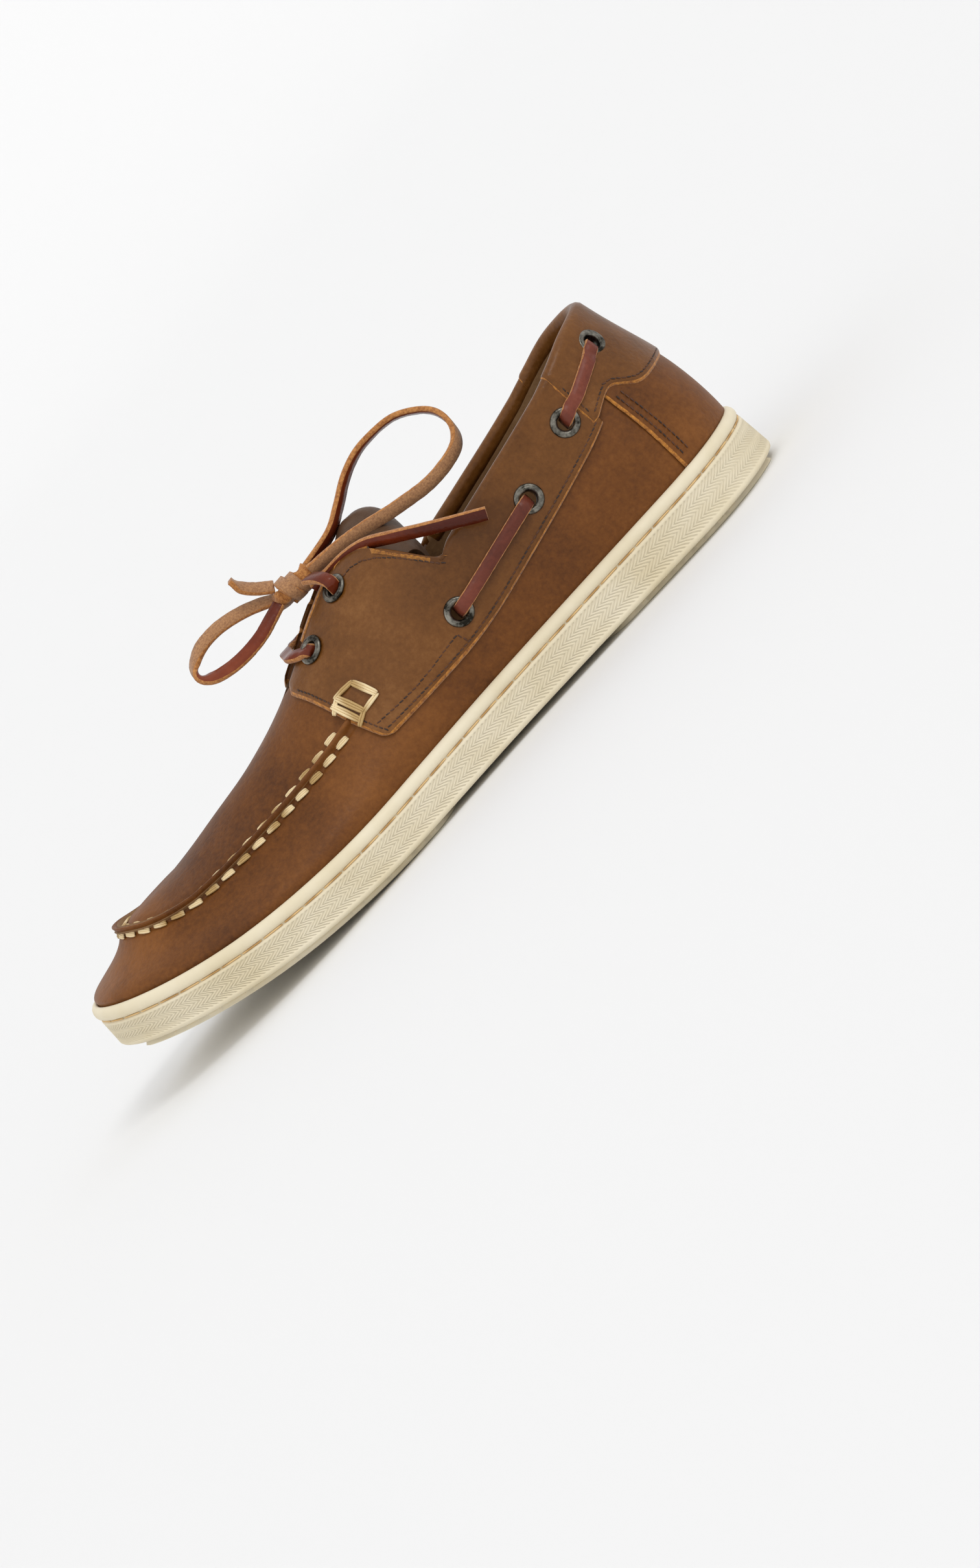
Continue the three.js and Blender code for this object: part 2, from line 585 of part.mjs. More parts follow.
shoe.position.set(-LENGTH / 2, MIDDLE, 0);
shoe.updateMatrixWorld(true);
export default shoe;
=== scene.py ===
import json
import math

import bpy
from bpy.props import FloatProperty, FloatVectorProperty, PointerProperty
from mathutils import Matrix, Vector, noise
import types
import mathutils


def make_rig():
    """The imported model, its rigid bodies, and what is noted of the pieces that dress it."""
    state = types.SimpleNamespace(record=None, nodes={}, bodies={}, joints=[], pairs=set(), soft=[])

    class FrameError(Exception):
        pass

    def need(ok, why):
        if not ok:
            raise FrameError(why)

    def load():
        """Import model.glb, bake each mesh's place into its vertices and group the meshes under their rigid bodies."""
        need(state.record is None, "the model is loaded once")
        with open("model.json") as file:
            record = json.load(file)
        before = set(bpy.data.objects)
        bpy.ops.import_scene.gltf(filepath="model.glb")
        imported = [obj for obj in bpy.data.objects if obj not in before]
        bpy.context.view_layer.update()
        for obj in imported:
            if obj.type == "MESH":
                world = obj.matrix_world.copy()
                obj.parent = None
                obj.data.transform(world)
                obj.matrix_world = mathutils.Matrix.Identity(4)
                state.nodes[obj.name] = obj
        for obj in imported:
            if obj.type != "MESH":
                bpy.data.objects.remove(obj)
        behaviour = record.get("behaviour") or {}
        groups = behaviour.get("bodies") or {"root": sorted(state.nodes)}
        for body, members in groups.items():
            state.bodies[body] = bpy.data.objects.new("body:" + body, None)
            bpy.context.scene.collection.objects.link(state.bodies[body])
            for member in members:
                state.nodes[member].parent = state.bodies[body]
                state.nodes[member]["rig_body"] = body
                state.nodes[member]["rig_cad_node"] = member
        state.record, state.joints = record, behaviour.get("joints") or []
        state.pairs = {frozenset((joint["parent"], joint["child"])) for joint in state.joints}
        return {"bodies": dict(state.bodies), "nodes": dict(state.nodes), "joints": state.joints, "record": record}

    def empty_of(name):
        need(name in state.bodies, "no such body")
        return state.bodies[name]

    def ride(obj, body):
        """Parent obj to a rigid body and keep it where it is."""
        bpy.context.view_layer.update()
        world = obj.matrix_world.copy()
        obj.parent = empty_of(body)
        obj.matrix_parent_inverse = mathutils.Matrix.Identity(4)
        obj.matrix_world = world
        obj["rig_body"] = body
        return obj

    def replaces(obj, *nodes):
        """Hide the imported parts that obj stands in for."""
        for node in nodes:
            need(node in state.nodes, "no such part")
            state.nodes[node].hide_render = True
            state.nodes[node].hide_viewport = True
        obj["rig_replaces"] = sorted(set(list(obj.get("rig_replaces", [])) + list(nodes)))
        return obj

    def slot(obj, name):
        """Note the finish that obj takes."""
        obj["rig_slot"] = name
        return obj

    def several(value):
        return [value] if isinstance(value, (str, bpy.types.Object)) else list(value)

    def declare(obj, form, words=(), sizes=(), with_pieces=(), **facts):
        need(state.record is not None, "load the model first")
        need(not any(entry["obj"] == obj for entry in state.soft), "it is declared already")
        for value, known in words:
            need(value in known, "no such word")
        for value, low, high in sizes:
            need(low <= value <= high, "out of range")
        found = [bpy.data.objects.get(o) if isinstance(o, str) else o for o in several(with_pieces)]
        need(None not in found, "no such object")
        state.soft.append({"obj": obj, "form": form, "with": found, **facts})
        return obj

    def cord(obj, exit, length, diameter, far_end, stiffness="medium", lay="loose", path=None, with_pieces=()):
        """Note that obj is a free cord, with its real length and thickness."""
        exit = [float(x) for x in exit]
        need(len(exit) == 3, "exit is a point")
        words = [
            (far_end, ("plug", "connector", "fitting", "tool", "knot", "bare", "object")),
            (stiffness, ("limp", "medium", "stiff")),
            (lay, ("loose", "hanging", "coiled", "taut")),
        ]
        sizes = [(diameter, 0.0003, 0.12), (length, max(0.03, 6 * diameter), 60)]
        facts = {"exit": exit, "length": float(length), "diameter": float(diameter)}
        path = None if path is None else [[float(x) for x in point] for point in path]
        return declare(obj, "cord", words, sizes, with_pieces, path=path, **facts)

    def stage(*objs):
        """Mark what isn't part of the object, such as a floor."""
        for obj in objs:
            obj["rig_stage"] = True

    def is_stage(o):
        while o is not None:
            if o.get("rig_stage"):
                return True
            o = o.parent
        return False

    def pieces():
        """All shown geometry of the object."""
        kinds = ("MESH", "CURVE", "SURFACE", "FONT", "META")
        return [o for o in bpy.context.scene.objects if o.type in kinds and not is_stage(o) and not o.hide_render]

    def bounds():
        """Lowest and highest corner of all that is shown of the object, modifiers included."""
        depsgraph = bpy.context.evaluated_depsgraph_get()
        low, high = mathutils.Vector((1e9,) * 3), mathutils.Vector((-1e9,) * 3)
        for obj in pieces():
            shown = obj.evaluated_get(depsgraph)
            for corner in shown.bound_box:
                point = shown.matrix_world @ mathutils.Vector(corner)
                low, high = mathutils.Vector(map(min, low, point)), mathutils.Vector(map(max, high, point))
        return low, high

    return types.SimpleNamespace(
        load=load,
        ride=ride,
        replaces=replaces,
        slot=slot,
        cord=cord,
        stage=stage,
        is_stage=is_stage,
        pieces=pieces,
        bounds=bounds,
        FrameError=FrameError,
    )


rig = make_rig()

bl_info = {
    "name": "Boat Shoe",
    "version": (1, 0, 0),
    "blender": (4, 5, 0),
    "location": "View3D > Sidebar > Boat Shoe",
    "description": "Builds a right-foot leather boat shoe on a rubber cup sole",
    "category": "Add Mesh",
}

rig.load()
CAD_BOX = [list(corner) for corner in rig.bounds()]

# Lengths here are millimetres. x runs from the heel to the toe, y to the inner side and z up, until a piece is
# put on its mesh: there the shoe's middle comes to the origin, and millimetres turn to metres.
LENGTH = 300.0
MIDDLE = 2.4
TOE_SPRING = 21.0
SPRING_FROM = 172.0
TREAD = 2.4
CUP_WALL = 4.0
CUP_FLOOR = 5.5
GAP = 0.3
LEATHER = 2.0
HEEL_CENTRE = 48.0
TOE_CENTRE = 245.0
THROAT = 8.5
# Along the shoe: where the wings start to rise, where they reach the throat, and where the throat closes.
WING_START = 106.0
WING_FULL = 134.0
THROAT_ROUNDS = 158.0
THROAT_END = 176.0
# Where the collar band goes in under the heel tab, and the front edges of the tab and the counter.
BAND_BACK = 36.2
TAB_FRONT = 39.5
COUNTER_FRONT = 27.6
# How far each leather piece's face stands off the last.
SADDLE_OUT = 2.2
TAB_OUT = 3.0
COUNTER_OUT = 1.7
HEEL_END = {"length": 40.0, "power": 2.15}
TOE_END = {"inner": 82.0, "outer": 112.0, "power": 2.2, "shift": 5.0}


def table(columns, *rows):
    """A short table: one dict of named columns a row."""
    return [dict(zip(columns.split(), row)) for row in rows]


SOLE_TABLE = table(
    "x inner outer height",
    (0, 35, 36, 22.5),
    (40, 37.5, 38.5, 22),
    (85, 37.5, 41.5, 21.3),
    (125, 38.5, 47, 20.6),
    (160, 43.5, 54, 20),
    (195, 49.5, 58, 19.4),
    (225, 51.5, 58, 19),
    (260, 51, 55, 18.6),
    (300, 50, 52, 18.4),
)
# The shoulder of the upper: collar edge, then under the saddle, then the moccasin seam.
SHOULDER_TABLE = table(
    "x inner outer z wall top",
    (0, 34, 34, 81.5, 78, 60),
    (4, 32.6, 32.6, 81.2, 78, 60),
    (18, 30.4, 30.6, 79.5, 80, 60),
    (34, 29.4, 29.8, 76, 84, 60),
    (60, 29.5, 30.5, 70, 84, 65),
    (85, 30.5, 32.5, 64.8, 82, 70),
    (106, 31.5, 34.5, 60.4, 78, 74),
    (130, 32, 36.5, 54, 74, 72),
    (155, 32.5, 37.5, 47.5, 66, 62),
    (178, 32.5, 37, 43, 60, 50),
    (205, 30.5, 34, 40.8, 60, 36),
    (230, 28.5, 31, 40.6, 62, 30),
    (250, 27, 28.5, 42, 62, 24),
    (275, 27, 27.5, 45.6, 62, 16),
    (292, 27.5, 27.5, 48.8, 58, 8),
    (300, 28, 28, 50, 54, 4),
)
# The middle line over the instep and the toe.
CREST_TABLE = table(
    "x z",
    (100, 86.4), (118, 85), (135, 82), (150, 76.4), (165, 69.2), (180, 62.4), (200, 56.8), (222, 53.2), (245, 50.6),
)
# Lower edge of the saddle and its collar band, and then of the heel tab.
BAND_TABLE = table(
    "x z", (30, 54.2), (44, 50), (66, 44.2), (93, 38), (106, 35.2), (119, 33.4), (135, 32.8), (164, 32.8),
)
TAB_TABLE = table(
    "x z",
    (0, 50.8), (9.5, 50.8), (13, 51.2), (16, 52.4), (19.5, 55.4), (22, 57.6), (25, 58.2), (30, 56.8), (36.5, 54.2),
)
# The saddle's front edge, from its lower corner (0) to the throat (1).
FRONT_TABLE = table(
    "share x", (0, 159.5), (0.04, 162.4), (0.12, 164), (0.35, 167), (0.7, 171.6), (0.93, 174.4), (1, 173.4),
)
# Eyelets from the heel to the throat's front.
EYELET_TABLE = table("x z", (12, 72), (46, 61.5), (73, 53), (116, 44.5), (138, 76.5), (158, 68))


def read(rows, column, x, key="x"):
    """A column's value at x: a cubic through the rows with slopes from their neighbours."""
    last = len(rows) - 1
    i = 0
    while i < last - 1 and x > rows[i + 1][key]:
        i += 1

    def slope(k):
        a, b = rows[max(k - 1, 0)], rows[min(k + 1, last)]
        return (b[column] - a[column]) / (b[key] - a[key])

    width = rows[i + 1][key] - rows[i][key]
    t = min(1.0, max(0.0, (x - rows[i][key]) / width))
    rise = rows[i + 1][column] - rows[i][column]
    start, end = slope(i) * width, slope(i + 1) * width
    return rows[i][column] + t * (start + t * (3 * rise - 2 * start - end + t * (start + end - 2 * rise)))


def lerp(a, b, t):
    """The value t of the way from a to b."""
    return a + (b - a) * t


def smooth(x, low, high):
    """0 up to low, 1 from high, and an S-curve between."""
    t = min(1.0, max(0.0, (x - low) / (high - low)))
    return t * t * (3 - 2 * t)


def bezier(p, t):
    """A point of a cubic Bezier curve in a rib's own plane."""
    s = 1 - t
    weights = (s**3, 3 * s * s * t, 3 * s * t * t, t**3)
    return tuple(sum(w * q[k] for w, q in zip(weights, p)) for k in (0, 1))


def superellipse(share, power):
    """Half width of a rounded end, from 1 in its middle to 0 at its tip."""
    return max(0.0, 1 - share**power) ** (1 / power)


def steps(n):
    """Shares from 0 to 1 in n even steps."""
    return [i / n for i in range(n + 1)]


def underside(x):
    """Height of the treads' underside: flat, then rising to the toe."""
    return TOE_SPRING * (max(0.0, x - SPRING_FROM) / (LENGTH - SPRING_FROM)) ** 2


def rim_top(x):
    return underside(x) + read(SOLE_TABLE, "height", x)


def cup_floor(x):
    return underside(x) + TREAD + CUP_FLOOR


def centre_line(x):
    return TOE_END["shift"] * (max(0.0, x - 150) / 150) ** 2


def half_width(x, side):
    """The sole's half width on one side, with its rounded heel and toe."""
    column = "inner" if side > 0 else "outer"
    heel = superellipse(max(0.0, 1 - x / HEEL_END["length"]), HEEL_END["power"])
    toe = superellipse(max(0.0, 1 - (LENGTH - x) / TOE_END[column]), TOE_END["power"])
    return read(SOLE_TABLE, column, x) * heel * toe


class Rib:
    """A vertical plane through the last, square to x in the middle and fanned out round the heel and the toe."""

    def __init__(self, x, side):
        x = min(LENGTH, max(0.0, x))
        foot = Vector((x, centre_line(x) + side * half_width(x, side)))
        axis_x = min(TOE_CENTRE, max(HEEL_CENTRE, x))
        self.axis = Vector((axis_x, centre_line(axis_x)))
        self.side, self.x = side, x
        self.reach = (foot - self.axis).length
        self.out = (foot - self.axis) / self.reach
        column = "inner" if side > 0 else "outer"
        rim = rim_top(x)
        foot_r = self.reach - CUP_WALL - GAP
        shoulder = (read(SHOULDER_TABLE, column, x), read(SHOULDER_TABLE, "z", x))
        tall = shoulder[1] - rim
        chord = math.hypot(foot_r - shoulder[0], tall)
        a = math.radians(read(SHOULDER_TABLE, "wall", x))
        below = (shoulder[0] + 0.36 * chord * math.cos(a), shoulder[1] - 0.36 * chord * math.sin(a))
        self.wall = ((foot_r, rim), (foot_r + 1.6, rim + 0.38 * tall), below, shoulder)
        crest = (0.0, read(CREST_TABLE, "z", axis_x))
        b = math.radians(read(SHOULDER_TABLE, "top", x))
        far = 0.4 * math.hypot(shoulder[0], crest[1] - shoulder[1])
        above = (shoulder[0] - far * math.cos(b), shoulder[1] + far * math.sin(b))
        self.over = (shoulder, above, (0.45 * shoulder[0], crest[1]), crest)
        self.foot_r, self.rim, self.floor = foot_r, rim, cup_floor(x) + 1.6

    def at(self, radius, z):
        return Vector((self.axis.x + self.out.x * radius, self.axis.y + self.out.y * radius, z))

    def face(self, h):
        """Radius and height on the upper: h is -1 to 0 inside the cup, to 1 up the wall, and to 2 over the top."""
        if h <= 0:
            return self.foot_r - 0.4 * h * h, lerp(self.rim, self.floor, -h)
        return bezier(self.wall, h) if h <= 1 else bezier(self.over, h - 1)

    def normal(self, h):
        a, b = self.face(max(h - 0.02, -1)), self.face(min(h + 0.02, 2))
        along = math.hypot(b[0] - a[0], b[1] - a[1]) or 1.0
        return (0.0, 1.0) if h >= 2 else ((b[1] - a[1]) / along, -(b[0] - a[0]) / along)

    def point(self, h, out=0.0):
        """The point at h, moved out of the face by a distance."""
        r, z = self.face(h)
        n = self.normal(h)
        return self.at(max(0.0, r + out * n[0]), z + out * n[1])

    def outward(self, h):
        n = self.normal(h)
        return Vector((self.out.x * n[0], self.out.y * n[0], n[1]))

    def search(self, low, high, passed):
        """Halves the way from low to high until the place where the test first passes is close."""
        a, b = low, high
        for _ in range(18):
            middle = (a + b) / 2
            if passed(middle):
                b = middle
            else:
                a = middle
        return (a + b) / 2

    def at_height(self, z):
        return self.search(0, 2, lambda h: self.face(h)[1] >= z)

    def at_radius(self, radius):
        return self.search(1, 2, lambda h: self.face(h)[0] <= radius)

    def wing_edge(self):
        """The collar's edge, and from the wings forward the throat's."""
        if self.x <= WING_START:
            return 1.0
        throat = self.at_radius(THROAT)
        if self.x >= WING_FULL:
            return throat
        risen = (self.x - WING_START) / (WING_FULL - WING_START)
        return lerp(1, throat, math.sin(math.pi / 2 * risen) ** 1.35)

    def top_edge(self):
        """The upper's edge, with the throat's rounded front end."""
        if self.x <= THROAT_ROUNDS:
            return self.wing_edge()
        if self.x >= THROAT_END:
            return 2.0
        return self.at_radius(THROAT * superellipse((self.x - THROAT_ROUNDS) / (THROAT_END - THROAT_ROUNDS), 2))


def ribs_round(count):
    """Ribs once round the shoe, evenly along the outline: inner side from heel to toe, then back."""
    ribs = []
    for side in (1, -1):
        fine = [LENGTH / 2 * (1 - math.cos(math.pi * t)) for t in steps(600)]
        feet = [Vector((x, side * half_width(x, side) + centre_line(x))) for x in fine]
        run = [0.0]
        for a, b in zip(feet, feet[1:]):
            run.append(run[-1] + (b - a).length)
        half = count // 2
        xs = []
        k = 0
        for i in range(half + 1):
            goal = run[-1] * i / half
            while k < len(run) - 2 and run[k + 1] < goal:
                k += 1
            xs.append(lerp(fine[k], fine[k + 1], (goal - run[k]) / (run[k + 1] - run[k])))
        xs[0], xs[-1] = 0.0, LENGTH
        ribs += [Rib(x, side) for x in (xs[:-1] if side > 0 else xs[:0:-1])]
    return ribs


def sway(p, size, depth):
    """Soft unevenness of a leather surface, in millimetres."""
    return depth * noise.noise(Vector((p.x / size, p.y / size, p.z / size)))


# ---- Materials -----------------------------------------------------------------------------------
def linear(hex_colour):
    """An sRGB hex colour as a linear RGBA tuple."""
    parts = [int(hex_colour[i : i + 2], 16) / 255 for i in (1, 3, 5)]
    return tuple(c / 12.92 if c <= 0.04045 else ((c + 0.055) / 1.055) ** 2.4 for c in parts) + (1.0,)


def add_node(tree, kind, settings=None, stops=(), **inputs):
    """One node with its settings and colour stops; an input takes a value or another node's socket."""
    node = tree.nodes.new(kind)
    for name, value in (settings or {}).items():
        setattr(node, name, value)
    for k, (position, colour) in enumerate(stops):
        elements = node.color_ramp.elements
        element = elements[k] if k < len(elements) else elements.new(position)
        element.position, element.color = position, colour
    for name, value in inputs.items():
        socket = node.inputs[int(name[1:]) if name[0] == "_" else name.replace("_", " ")]
        if isinstance(value, bpy.types.NodeSocket):
            tree.links.new(value, socket)
        else:
            socket.default_value = value
    return node


def start_material(name):
    """A new material, its tree, its Principled shader joined to the output, and its pattern space."""
    material = bpy.data.materials.new(name)
    material.use_nodes = True
    tree = material.node_tree
    tree.nodes.clear()
    shader = add_node(tree, "ShaderNodeBsdfPrincipled")
    add_node(tree, "ShaderNodeOutputMaterial", Surface=shader.outputs["BSDF"])
    place = add_node(tree, "ShaderNodeTexCoord").outputs["Object"]
    return material, tree, shader, place


# Noise scale that makes features one millimetre across; divided by the size wanted.
PER_MM = 500.0
NOISE = "ShaderNodeTexNoise"
RAMP = "ShaderNodeValToRGB"


def leather(name, tones, gloss, nap):
    """Oiled pull-up leather, drum dyed: cloudy colour, fine grain, and a soft broken sheen where it is handled."""
    material, tree, shader, place = start_material(name)
    dark, middle, light = tones
    clouds = add_node(tree, NOISE, Vector=place, Scale=PER_MM / 34, Detail=5.0, Roughness=0.62).outputs["Fac"]
    grain = add_node(tree, NOISE, Vector=place, Scale=PER_MM / 0.9, Detail=2.0, Roughness=0.7).outputs["Fac"]
    join = {"operation": "MULTIPLY_ADD"}
    mixed = add_node(tree, "ShaderNodeMath", join, _0=grain, _1=nap, _2=clouds).outputs[0]
    stops = ((0.34 + nap / 2, dark), (0.52 + nap / 2, middle), (0.72 + nap / 2, light))
    colour = add_node(tree, RAMP, stops=stops, Fac=mixed)
    tree.links.new(colour.outputs["Color"], shader.inputs["Base Color"])
    worn = add_node(tree, NOISE, Vector=place, Scale=PER_MM / 22, Detail=4.0, Roughness=0.6).outputs["Fac"]
    most, least = gloss + 0.1, gloss - 0.1
    rough = add_node(tree, "ShaderNodeMapRange", Value=worn, From_Min=0.3, From_Max=0.7, To_Min=most, To_Max=least)
    tree.links.new(rough.outputs["Result"], shader.inputs["Roughness"])
    folds = add_node(tree, NOISE, Vector=place, Scale=PER_MM / 7, Detail=3.0, Roughness=0.6).outputs["Fac"]
    soft = add_node(tree, "ShaderNodeBump", Height=folds, Distance=0.0005, Strength=0.35).outputs["Normal"]
    pores = add_node(tree, "ShaderNodeBump", Height=grain, Distance=0.00022, Strength=0.7, Normal=soft)
    tree.links.new(pores.outputs["Normal"], shader.inputs["Normal"])
    shader.inputs["Specular IOR Level"].default_value = 0.24
    return material


def fibre(name, tones, size_mm, depth, rough=0.85):
    """Cut or sueded leather: open fibres, so it is matt and uneven in colour."""
    material, tree, shader, place = start_material(name)
    dark, light = tones
    fuzz = add_node(tree, NOISE, Vector=place, Scale=PER_MM / size_mm, Detail=3.0, Roughness=0.75).outputs["Fac"]
    colour = add_node(tree, RAMP, stops=((0.34, dark), (0.66, light)), Fac=fuzz)
    tree.links.new(colour.outputs["Color"], shader.inputs["Base Color"])
    rise = add_node(tree, "ShaderNodeBump", Height=fuzz, Distance=depth / 1000, Strength=0.8)
    tree.links.new(rise.outputs["Normal"], shader.inputs["Normal"])
    shader.inputs["Roughness"].default_value = rough
    shader.inputs["Sheen Weight"].default_value = 0.2
    return material


def rubber(name, tones):
    """Moulded cup-sole rubber: matt, with a faint dusty mottling."""
    material, tree, shader, place = start_material(name)
    base, shade = tones
    dust = add_node(tree, NOISE, Vector=place, Scale=PER_MM / 18, Detail=4.0, Roughness=0.6).outputs["Fac"]
    colour = add_node(tree, RAMP, stops=((0.3, shade), (0.62, base)), Fac=dust)
    tree.links.new(colour.outputs["Color"], shader.inputs["Base Color"])
    skin = add_node(tree, NOISE, Vector=place, Scale=PER_MM / 0.8, Detail=2.0).outputs["Fac"]
    rise = add_node(tree, "ShaderNodeBump", Height=skin, Distance=0.00005, Strength=0.5)
    tree.links.new(rise.outputs["Normal"], shader.inputs["Normal"])
    shader.inputs["Roughness"].default_value = 0.6
    return material


def thread(name, tones, twist_mm=1.1):
    """Waxed sewing thread: twisted strands with a low sheen."""
    material, tree, shader, place = start_material(name)
    base, shade = tones
    slant, bands = {"bands_direction": "DIAGONAL"}, 1000 / twist_mm / 20
    strands = add_node(tree, "ShaderNodeTexWave", slant, Vector=place, Scale=bands, Distortion=2.0).outputs["Fac"]
    colour = add_node(tree, RAMP, stops=((0.2, shade), (0.7, base)), Fac=strands)
    tree.links.new(colour.outputs["Color"], shader.inputs["Base Color"])
    rise = add_node(tree, "ShaderNodeBump", Height=strands, Distance=0.0002, Strength=0.7)
    tree.links.new(rise.outputs["Normal"], shader.inputs["Normal"])
    shader.inputs["Roughness"].default_value = 0.6
    return material


def aged_metal(name, tones):
    """Antiqued brass-bodied eyelet: tarnished dark and rubbed bright in random patches."""
    material, tree, shader, place = start_material(name)
    dark, light = tones
    worn = add_node(tree, NOISE, Vector=place, Scale=PER_MM / 2.2, Detail=4.0, Roughness=0.7).outputs["Fac"]
    colour = add_node(tree, RAMP, stops=((0.38, dark), (0.64, light)), Fac=worn)
    tree.links.new(colour.outputs["Color"], shader.inputs["Base Color"])
    rough = add_node(tree, "ShaderNodeMapRange", Value=worn, To_Min=0.5, To_Max=0.22)
    tree.links.new(rough.outputs["Result"], shader.inputs["Roughness"])
    shader.inputs["Metallic"].default_value = 1.0
    return material


def plain(name, tones, rough):
    """One even colour, as on matt studio paper."""
    material, _, shader, _ = start_material(name)
    shader.inputs["Base Color"].default_value = tones[0]
    shader.inputs["Roughness"].default_value = rough
    return material


# Each part's main colour; a finish's other tones keep their distance from it when it is changed.
MAIN_COLOURS = {
    "vamp": "#693C11",
    "saddle": "#6C4219",
    "lining": "#80603F",
    "collar": "#5A4230",
    "lace": "#6B2A12",
    "suede": "#B58558",
    "cut_edge": "#C4822F",
    "rubber": "#E4D9BF",
    "tan_thread": "#DDB980",
    "brown_thread": "#4E2B13",
    "cream_thread": "#E6D0A4",
    "metal": "#8E8A80",
    "floor": "#EBEBEB",
}
FINISHES = {}


def make_finishes(colours):
    """Makes every finish once, from the chosen colours."""
    if FINISHES:
        return

    def toned(part, *hexes):
        share = [c / usual for c, usual in zip(getattr(colours, part), linear(MAIN_COLOURS[part]))]
        return [tuple(v * k for v, k in zip(linear(tone), share)) + (1.0,) for tone in hexes]

    FINISHES.update(
        # Dull oiled hide that pales in clouds, and a waxier one that catches the light along its bends.
        vamp=leather("oiled_leather_vamp", toned("vamp", "#4F2A08", "#693C11", "#7E4C1C"), 0.52, 0.34),
        saddle=leather("waxed_leather_saddle", toned("saddle", "#55310D", "#6C4219", "#86592D"), 0.36, 0.26),
        # A cut edge shows the undyed middle of the hide, bright and rough.
        raw=fibre("cut_leather_edge", toned("cut_edge", "#7C4715", "#C4822F"), 0.8, 0.4),
        # Soft matt linings: tan on the footbed, darker round the collar and on the tongue.
        lining=leather("lining_leather_tan", toned("lining", "#6B4C30", "#80603F", "#957552"), 0.62, 0.22),
        collar=leather("lining_leather_dark", toned("collar", "#45301F", "#5A4230", "#6E5440"), 0.5, 0.2),
        # The lace's grain side is smooth and glossy; where it runs along the collar it takes a paler copy of its
        # finish, a painted highlight.
        lace=leather("waxed_lace_leather", toned("lace", "#481708", "#6B2A12", "#8C4526"), 0.28, 0.1),
        lace_side=leather("lace_leather_painted_highlight", toned("lace", "#54261A", "#723828", "#905644"), 0.38, 0.2),
        # Its flesh side and its two cut edges are napped, so they take no shine.
        suede=fibre("lace_suede_side", toned("suede", "#8A5F3F", "#B58558"), 0.35, 0.25),
        lace_edge=fibre("lace_cut_edge", toned("cut_edge", "#8C5220", "#C48746"), 0.5, 0.35),
        # Moulded rubber is even and soft-edged, and barely mottled by dust.
        rubber=rubber("moulded_rubber_cream", toned("rubber", "#E4D9BF", "#D8CAA9")),
        # Threads show their twist as fine slanted bands, drawn coarse enough to be seen.
        sole_thread=thread("waxed_thread_tan", toned("tan_thread", "#DDB980", "#B98E52")),
        brown_thread=thread("waxed_thread_brown", toned("brown_thread", "#4E2B13", "#2A1508"), 0.7),
        moc_thread=thread("braided_thread_cream", toned("cream_thread", "#E6D0A4", "#B5955F"), 1.3),
        # Tarnish lies dark in random patches, with rubbed bright metal between.
        metal=aged_metal("antiqued_metal_eyelet", toned("metal", "#26241F", "#8E8A80")),
        # Matt paper gives an even pale ground.
        floor=plain("studio_paper", toned("floor", "#EBEBEB"), 0.9),
    )


def to_scene(p):
    """A point in the shoe's millimetres, in the frame's metres."""
    return ((p[0] - LENGTH / 2) / 1000, (p[1] + MIDDLE) / 1000, p[2] / 1000)


# ---- Mesh helpers --------------------------------------------------------------------------------
def grid_faces(rows, columns, round_rows=False, round_columns=False):
    """Four-sided faces between rows of points, closed on themselves either way when asked."""
    faces = []
    for i in range(rows if round_rows else rows - 1):
        a, b = i * columns, ((i + 1) % rows) * columns
        for j in range(columns if round_columns else columns - 1):
            k = (j + 1) % columns
            faces.append((a + j, b + j, b + k, a + k))
    return faces


def new_piece(name, points, faces, materials, face_materials=None, smooth_faces=True):
    """A mesh object from points in millimetres, with its finishes and the finish of each face."""
    mesh = bpy.data.meshes.new(name)
    mesh.from_pydata([to_scene(p) for p in points], [], faces)
    piece = bpy.data.objects.new(name, mesh)
    bpy.context.scene.collection.objects.link(piece)
    for key in materials:
        mesh.materials.append(FINISHES[key])
    if face_materials is not None:
        mesh.polygons.foreach_set("material_index", face_materials)
    mesh.polygons.foreach_set("use_smooth", [smooth_faces] * len(mesh.polygons))
    mesh.update()
    return piece


def only(piece):
    """Makes one piece the selected and active object."""
    bpy.ops.object.select_all(action="DESELECT")
    piece.select_set(True)
    bpy.context.view_layer.objects.active = piece


def weld(piece, distance_mm=0.002, outwards=True):
    """Merges doubled points and, on a closed shape, turns the faces outwards."""
    only(piece)
    bpy.ops.object.mode_set(mode="EDIT")
    bpy.ops.mesh.select_all(action="SELECT")
    bpy.ops.mesh.remove_doubles(threshold=distance_mm / 1000)
    if outwards:
        bpy.ops.mesh.normals_make_consistent(inside=False)
    bpy.ops.object.mode_set(mode="OBJECT")


def face_out(piece):
    """Turns an open sheet's faces away from the middle of the shoe."""
    mesh = piece.data
    total = 0.0
    for polygon in mesh.polygons:
        x, y, z = polygon.center
        middle = centre_line(x * 1000 + LENGTH / 2) / 1000 + MIDDLE / 1000
        total += polygon.area * polygon.normal.dot(Vector((0.2 * x, y - middle, z - 0.03)))
    if total < 0:
        only(piece)
        bpy.ops.object.mode_set(mode="EDIT")
        bpy.ops.mesh.select_all(action="SELECT")
        bpy.ops.mesh.flip_normals()
        bpy.ops.object.mode_set(mode="OBJECT")


def apply_all(piece):
    """Applies the piece's modifiers in order."""
    only(piece)
    for modifier in list(piece.modifiers):
        bpy.ops.object.modifier_apply(modifier=modifier.name)


